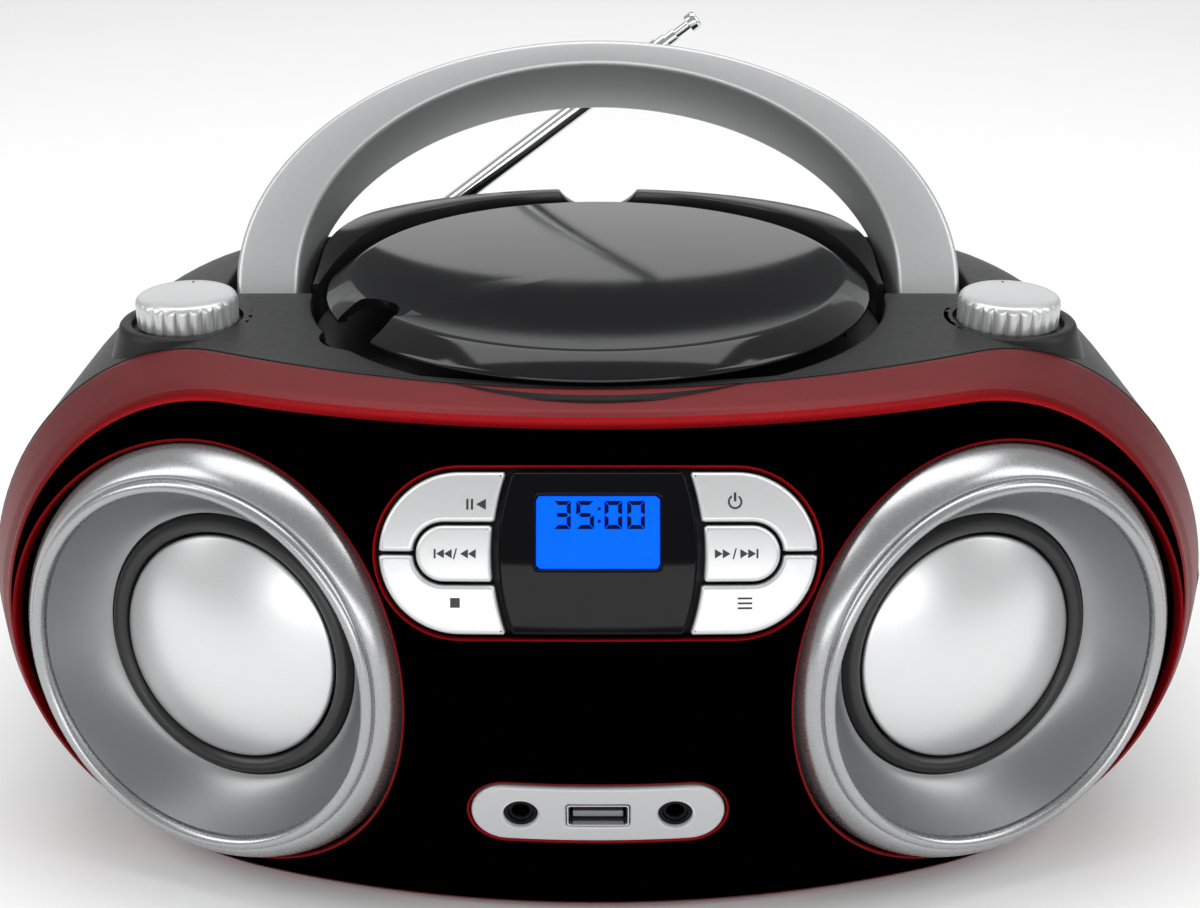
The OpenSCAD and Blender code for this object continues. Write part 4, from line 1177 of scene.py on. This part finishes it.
LID = upright(WELL[0], WELL[1], 0.0)
LID_PIECE = {"slot": "gloss_black", "replaces": ["cd_lid"]}
profile = [(0.0, 119.0), (58.6, 119.0), (63.2, 116.5), (63.2, 115.8), (65.3, 115.8), (65.5, 116.0),
           (65.5, 116.35), (65.35, 116.75), (65.0, 117.15), (61.2, 119.85), (60.4, 120.38), (59.8, 120.72),
           (59.2, 120.93), (58.4, 121.0), (0.0, 121.0)]
lid = lathe("lid_disc", profile, LID, "lid", "lid", seg=240, angle=30, **LID_PIECE)
cut(lid, *round_bar((*SCOOP, 114.0), (*SCOOP, 122.0), 8.8, 96))
profile = [(0.0, 107.2), (10.6, 107.2), (10.6, 113.2), (9.65, 113.2), (9.65, 109.8), (9.3, 109.0),
           (8.6, 108.6), (0.0, 108.5)]
cup = lathe("scoop_cup", profile, upright(*SCOOP, 0), "tower", "cabinet", seg=96, angle=40, **TOP_SHELL)
cut(cup, *round_bar((*WELL, 100), (*WELL, 125), WELL_R, 180))
lid.data.set_sharp_from_angle(angle=math.radians(25))
profile = [(15.0, 115.4), (13.6, 115.4), (13.6, 114.4), (17.0, 114.4), (17.0, 119.1), (15.0, 119.1)]
lathe("clamp_ring", profile, LID, "lid", "lid", seg=96, angle=30, **LID_PIECE)
arms = []
for s in (-1, 1):
    arms.append(box_at(upright(0, 0, 0), (s * 27.5 - 3, 52.5, 113.5), (s * 27.5 + 3, 61.5, 116.2), 0.5))
    arms.append(round_bar((s * 27.5 - 3, 61.5, 113.5), (s * 27.5 + 3, 61.5, 113.5), 2.7))
make("lid_arms", *joined(*arms), "plastic", "lid", angle=30, **LID_PIECE)
tip_at, back = (-43.4, -38.8), (-40.6, -36.6)
mark = ccw([tip_at, (back[0] - 1.3, back[1] + 1.7), (back[0] + 1.3, back[1] - 1.7)])
make("lid_mark", [(x, y, z) for z in (120.98, 121.02) for x, y in mark],
     quads(3, 2) + [(2, 1, 0), (3, 4, 5)], "icon", "lid", angle=20)


TOWER_HALF, TOWER_RISE, TOWER_Y = 70.5, 49.5, 22.0     # arch of its outside, and where the arch starts
NOTCH_R, NOTCH_Z = 12.6, 128.2                          # finger notch


def tower_radius(c, s):
    """Distance from the well's centre to the tower's outside, in the direction (c, s)."""
    rad = TOWER_HALF / abs(c) if abs(c) > 1e-6 else 1e9
    if WELL[1] + rad * s <= TOWER_Y:
        return rad
    off = WELL[1] - TOWER_Y
    qa = (c / TOWER_HALF) ** 2 + (s / TOWER_RISE) ** 2
    qb = 2 * s * off / TOWER_RISE ** 2
    qc = (off / TOWER_RISE) ** 2 - 1
    return (-qb + math.sqrt(qb * qb - 4 * qa * qc)) / (2 * qa)


def tower_height(c, s):
    """Height of its top: rising towards the rear, with the notch in the middle."""
    x, y = WELL_R * c, WELL[1] + WELL_R * s
    u = min(1.0, max(0.0, (y - 2.0) / 40.0))
    z = 115.0 + 6.0 * u * u * (3 - 2 * u)
    if abs(x) < 12.0 and y > 40:
        z = min(z, NOTCH_Z - math.sqrt(NOTCH_R ** 2 - x * x))
    return z


def tower():
    """Raised wall round the back of the well, higher behind, with a finger notch in the middle."""
    verts, count, foot = [], 345, 84.0
    for th in np.linspace(math.radians(4.0), math.radians(176.0), count):
        c, s = math.cos(th), math.sin(th)
        rad, z = tower_radius(c, s), tower_height(c, s)
        e = min(0.62, (rad - WELL_R) * 0.4)
        inner = [(WELL_R, foot - z), (WELL_R, -0.7), (WELL_R + 0.25 * e, -0.25), (WELL_R + e, 0.0)]
        outer = [(rad - e, 0.0), (rad - 0.25 * e, -0.25), (rad, -0.7), (rad, foot - z)]
        verts += [(WELL[0] + r * c, WELL[1] + r * s, z + dz) for r, dz in inner + outer]
    faces = [f[::-1] for f in quads(8, count)]
    faces += [tuple(range(8)), tuple(range((count - 1) * 8, count * 8))[::-1]]
    make("well_rim", verts, faces, "tower", "cabinet", angle=40, **TOP_SHELL)


tower()


def fluted(name, place, rows, body):
    """Knob with a ring of fine flutes. rows are (radius, height, flute depth)."""
    o, x, y, n = place
    seg = 24 * 12                               # 24 flutes, 12 points each
    verts = []
    for r, z, d in rows:
        for k in range(seg):
            t = 2 * math.pi * k / seg
            f = abs(math.sin(12 * t)) ** 0.6
            rr = r - d * (1 - f)
            verts.append(o + x * (rr * math.cos(t)) + y * (rr * math.sin(t)) + n * z)
    faces = quads(seg, len(rows))
    faces += [tuple(range(seg))[::-1], tuple(range(len(verts) - seg, len(verts)))]
    return make(name, verts, faces, "knob", body, slot="silver_trim", replaces=[body], angle=28)


# Knob cap as (radius, height, flute depth), and the boss it stands in as (radius, height).
KNOB_ROWS = [(10.9, 113.8, 0), (11.2, 113.95, 0.1), (11.65, 114.4, 0.6), (11.7, 119.2, 0.6),
             (11.6, 119.7, 0.45), (11.35, 120.2, 0.2), (11.0, 120.55, 0), (10.5, 120.8, 0), (9.6, 121.0, 0),
             (8.0, 121.15, 0), (5.0, 121.3, 0), (0.4, 121.38, 0)]
BOSS = [(12.0, 100.0), (20.5, 100.0), (19.2, 104.0), (17.8, 108.0), (16.6, 111.5), (16.0, 113.4),
        (15.6, 114.4), (15.2, 114.85), (14.7, 115.0), (13.6, 115.0), (13.1, 114.85), (12.8, 114.5),
        (12.65, 113.2), (3.2, 113.1), (3.2, 100.0)]


def knob(x, y, body):
    """Boss on the deck, fluted cap, pointer and shaft."""
    at = upright(x, y, 0)
    lathe(body + "_boss", BOSS, at, "shell", "cabinet", seg=128, angle=40, **TOP_SHELL)
    fluted(body + "_cap", at, KNOB_ROWS, body)
    make(body + "_pointer", *box_at(at, (-0.3, 5.4, 120.6), (0.3, 8.6, 121.18), 0.1), "icon", body)
    make(body + "_shaft", *round_bar((x, y, 87), (x, y, 113.9), 3.0), "steel", body, slot="silver_trim",
         replaces=[body], angle=30)


knob(*KNOBS[0], "tuning_knob")
knob(*KNOBS[1], "volume_knob")

# ---- handle

LEAN = math.radians(36.3)
HANDLE = (Vector((0, PIVOT[0], PIVOT[1])), Vector((1, 0, 0)), Vector((0, math.sin(LEAN), math.cos(LEAN))),
          Vector((0, -math.cos(LEAN), math.sin(LEAN))))


LEG_OUT, LEG_IN = 90.3, 74.7                    # outer and inner side of a leg
RISE_OUT, RISE_IN = 62.5, 55.2                  # arch's rise at its outside and inside
ARCH_FROM = 14                                  # height over the pivot where the arch starts
EYE_R = 8.65                                    # round end at the pivot


def handle_stations():
    """Pairs of outer and inner points up one leg, over the arch and down the other."""
    leg = [((LEG_OUT, v), (LEG_IN, v)) for v in (-8.5, -8.0, -7.0, -5.5, -3.5, -1.0, 2.0, 5.0, 8.0, 11.0)]
    arch = []
    for t in np.linspace(0, math.pi, 121):
        c, s = math.cos(t), math.sin(t)
        arch.append(((LEG_OUT * c, ARCH_FROM + RISE_OUT * s), (LEG_IN * c, ARCH_FROM + RISE_IN * s)))
    return leg + arch + [((-p[0], p[1]), (-q[0], q[1])) for p, q in leg[::-1]]


def handle_section(thick, w):
    """Rounded rectangle, thick across the bar and 2 w deep."""
    r = min(1.7, w * 0.6, thick * 0.3)
    a, b = thick / 2 - r, w - r
    ring = []
    for cx, cz, start in ((a, b, 0), (-a, b, 90), (-a, -b, 180), (a, -b, 270)):
        ring += arc(cx, cz, r, start, start + 90, 6)
    return ring


def handle():
    """Bar lofted through its stations, with a rounded-rectangle section."""
    o, x, y, n = HANDLE
    stations = handle_stations()
    verts, per = [], 0
    for p, q in stations:
        v = (p[1] + q[1]) / 2
        w = math.sqrt(max(0.3, EYE_R ** 2 - v * v)) if v < 0 else EYE_R + 5.45 * v / 77.5
        thick = math.hypot(p[0] - q[0], p[1] - q[1])
        ring = handle_section(thick, w)
        per = len(ring)
        for s, h in ring:
            f = 0.5 + s / thick
            lx, ly = q[0] + (p[0] - q[0]) * f, q[1] + (p[1] - q[1]) * f
            verts.append(o + x * lx + y * ly + n * h)
    faces = quads(per, len(stations))
    faces += [tuple(range(per))[::-1], tuple(range(len(verts) - per, len(verts)))]
    make("handle_bar", verts, [f[::-1] for f in faces], "handle", "carry_handle", slot="silver_trim",
         replaces=["handle"], angle=38)


handle()

# ---- antenna

TILT = math.radians(37)
along = Vector((math.cos(TILT), 0, math.sin(TILT)))
MAST = (Vector((-75, 92, 87)), Vector((0, 1, 0)), along.cross(Vector((0, 1, 0))), along)


def mast_tube(number, body, r, z0, z1):
    """Outside of one telescopic tube, from z0 to z1 along the mast."""
    profile = [(r - 0.4, z0 + 3), (r - 0.4, z0), (r - 0.1, z0), (r, z0 + 0.2), (r, z1 - 0.25),
               (r - 0.08, z1 - 0.05), (r - 0.2, z1), (r - 0.4, z1)]
    lathe("mast_tube_%d" % number, profile, MAST, "chrome", body, seg=48, slot="chrome",
          replaces=["antenna_tube_%d" % number], angle=40)


mast_tube(2, "antenna_middle", 2.3, 9.0, 118.5)
mast_tube(3, "antenna_upper", 1.85, 13.0, 121.5)
tip = [(0.0, 17.0), (1.4, 17.0), (1.4, 125.9), (2.4, 125.9), (2.68, 126.2), (2.7, 127.9), (2.6, 128.5),
       (2.25, 128.9), (1.6, 129.0), (0.0, 129.0)]
lathe("mast_tip", tip, MAST, "chrome", "antenna_end", seg=48, slot="chrome", replaces=["antenna_tip"],
      angle=40)

# ---- finishes of the CAD pieces that stay

KEPT = {
    "rubber": ["rubber_feet"],
    "steel": ["case_screws", "left_basket", "right_basket", "tuning_capacitor", "volume_pot",
              "lid_hinge_pins", "cd_chassis", "spindle_motor", "sled_rods", "lead_screw", "sled_motor",
              "handle_pins", "transformer", "battery_springs"],
    "ferrite": ["left_magnet", "right_magnet"],
    "plastic": ["button_tray", "disc_clamp", "cd_tray", "turntable", "laser_sled", "mains_inlet",
                "battery_box"],
    "board": ["control_board", "main_board"],
    "chrome": ["antenna_swivel", "antenna_tube_1"],
}
for finish, names in KEPT.items():
    for node_name in names:
        ob = bpy.data.objects[node_name]
        if not ob.material_slots:
            ob.data.materials.append(MAT[finish])
        for place in ob.material_slots:
            place.material = MAT[finish]

# ---- camera, lights and floor

cam_data = bpy.data.cameras.new("camera")
cam = bpy.data.objects.new("camera", cam_data)
bpy.context.scene.collection.objects.link(cam)
cam.location = (0.0, -0.406, 0.247)
cam.rotation_euler = (math.radians(90 - 23.5), 0, 0)
cam_data.sensor_width = 36
cam_data.lens = 52.05
cam_data.shift_x = 0.00167
cam_data.clip_start = 0.01
bpy.context.scene.camera = cam


def area(name, loc, target, size, power, size_y):
    """Soft white rectangular light aimed at a point. Lengths are metres, power is watts."""
    d = bpy.data.lights.new(name, "AREA")
    d.energy = power
    d.shape = "RECTANGLE"
    d.size = size
    d.size_y = size_y
    o = bpy.data.objects.new(name, d)
    bpy.context.scene.collection.objects.link(o)
    o.location = loc
    o.rotation_euler = (Vector(target) - Vector(loc)).to_track_quat("-Z", "Y").to_euler()


area("key_left", (-0.95, -0.25, 0.75), (0, 0, 0.06), 0.45, 4.4, 0.9)
area("key_right", (0.95, -0.25, 0.75), (0, 0, 0.06), 0.45, 4.4, 0.9)
area("overhead", (0.0, 0.35, 1.5), (0, 0.3, 0.0), 1.6, 13.0, 0.9)
area("back_card", (0.0, 1.5, 0.60), (0, 0, 0.12), 2.2, 3.0, 0.7)
area("front_fill", (0.0, -1.3, 0.30), (0, 0, 0.06), 1.6, 5.5, 0.35)

world = bpy.data.worlds.new("world")
bpy.context.scene.world = world
world.use_nodes = True
bg = world.node_tree.nodes["Background"]
bg.inputs["Color"].default_value = (1, 1, 1, 1)
bg.inputs["Strength"].default_value = 0.42

fl = bpy.data.meshes.new("floor")
fl.from_pydata([(-3, -3, 0), (3, -3, 0), (3, 3, 0), (-3, 3, 0)], [], [(0, 1, 2, 3)])
floor = bpy.data.objects.new("floor", fl)
bpy.context.scene.collection.objects.link(floor)
floor.location = (0, 0, -0.0002)
fl.materials.append(material("floor_paper", (0.90, 0.90, 0.90), 0.7, vary=0.005, noise=40.0))
bpy.context.scene.view_settings.view_transform = "Standard"
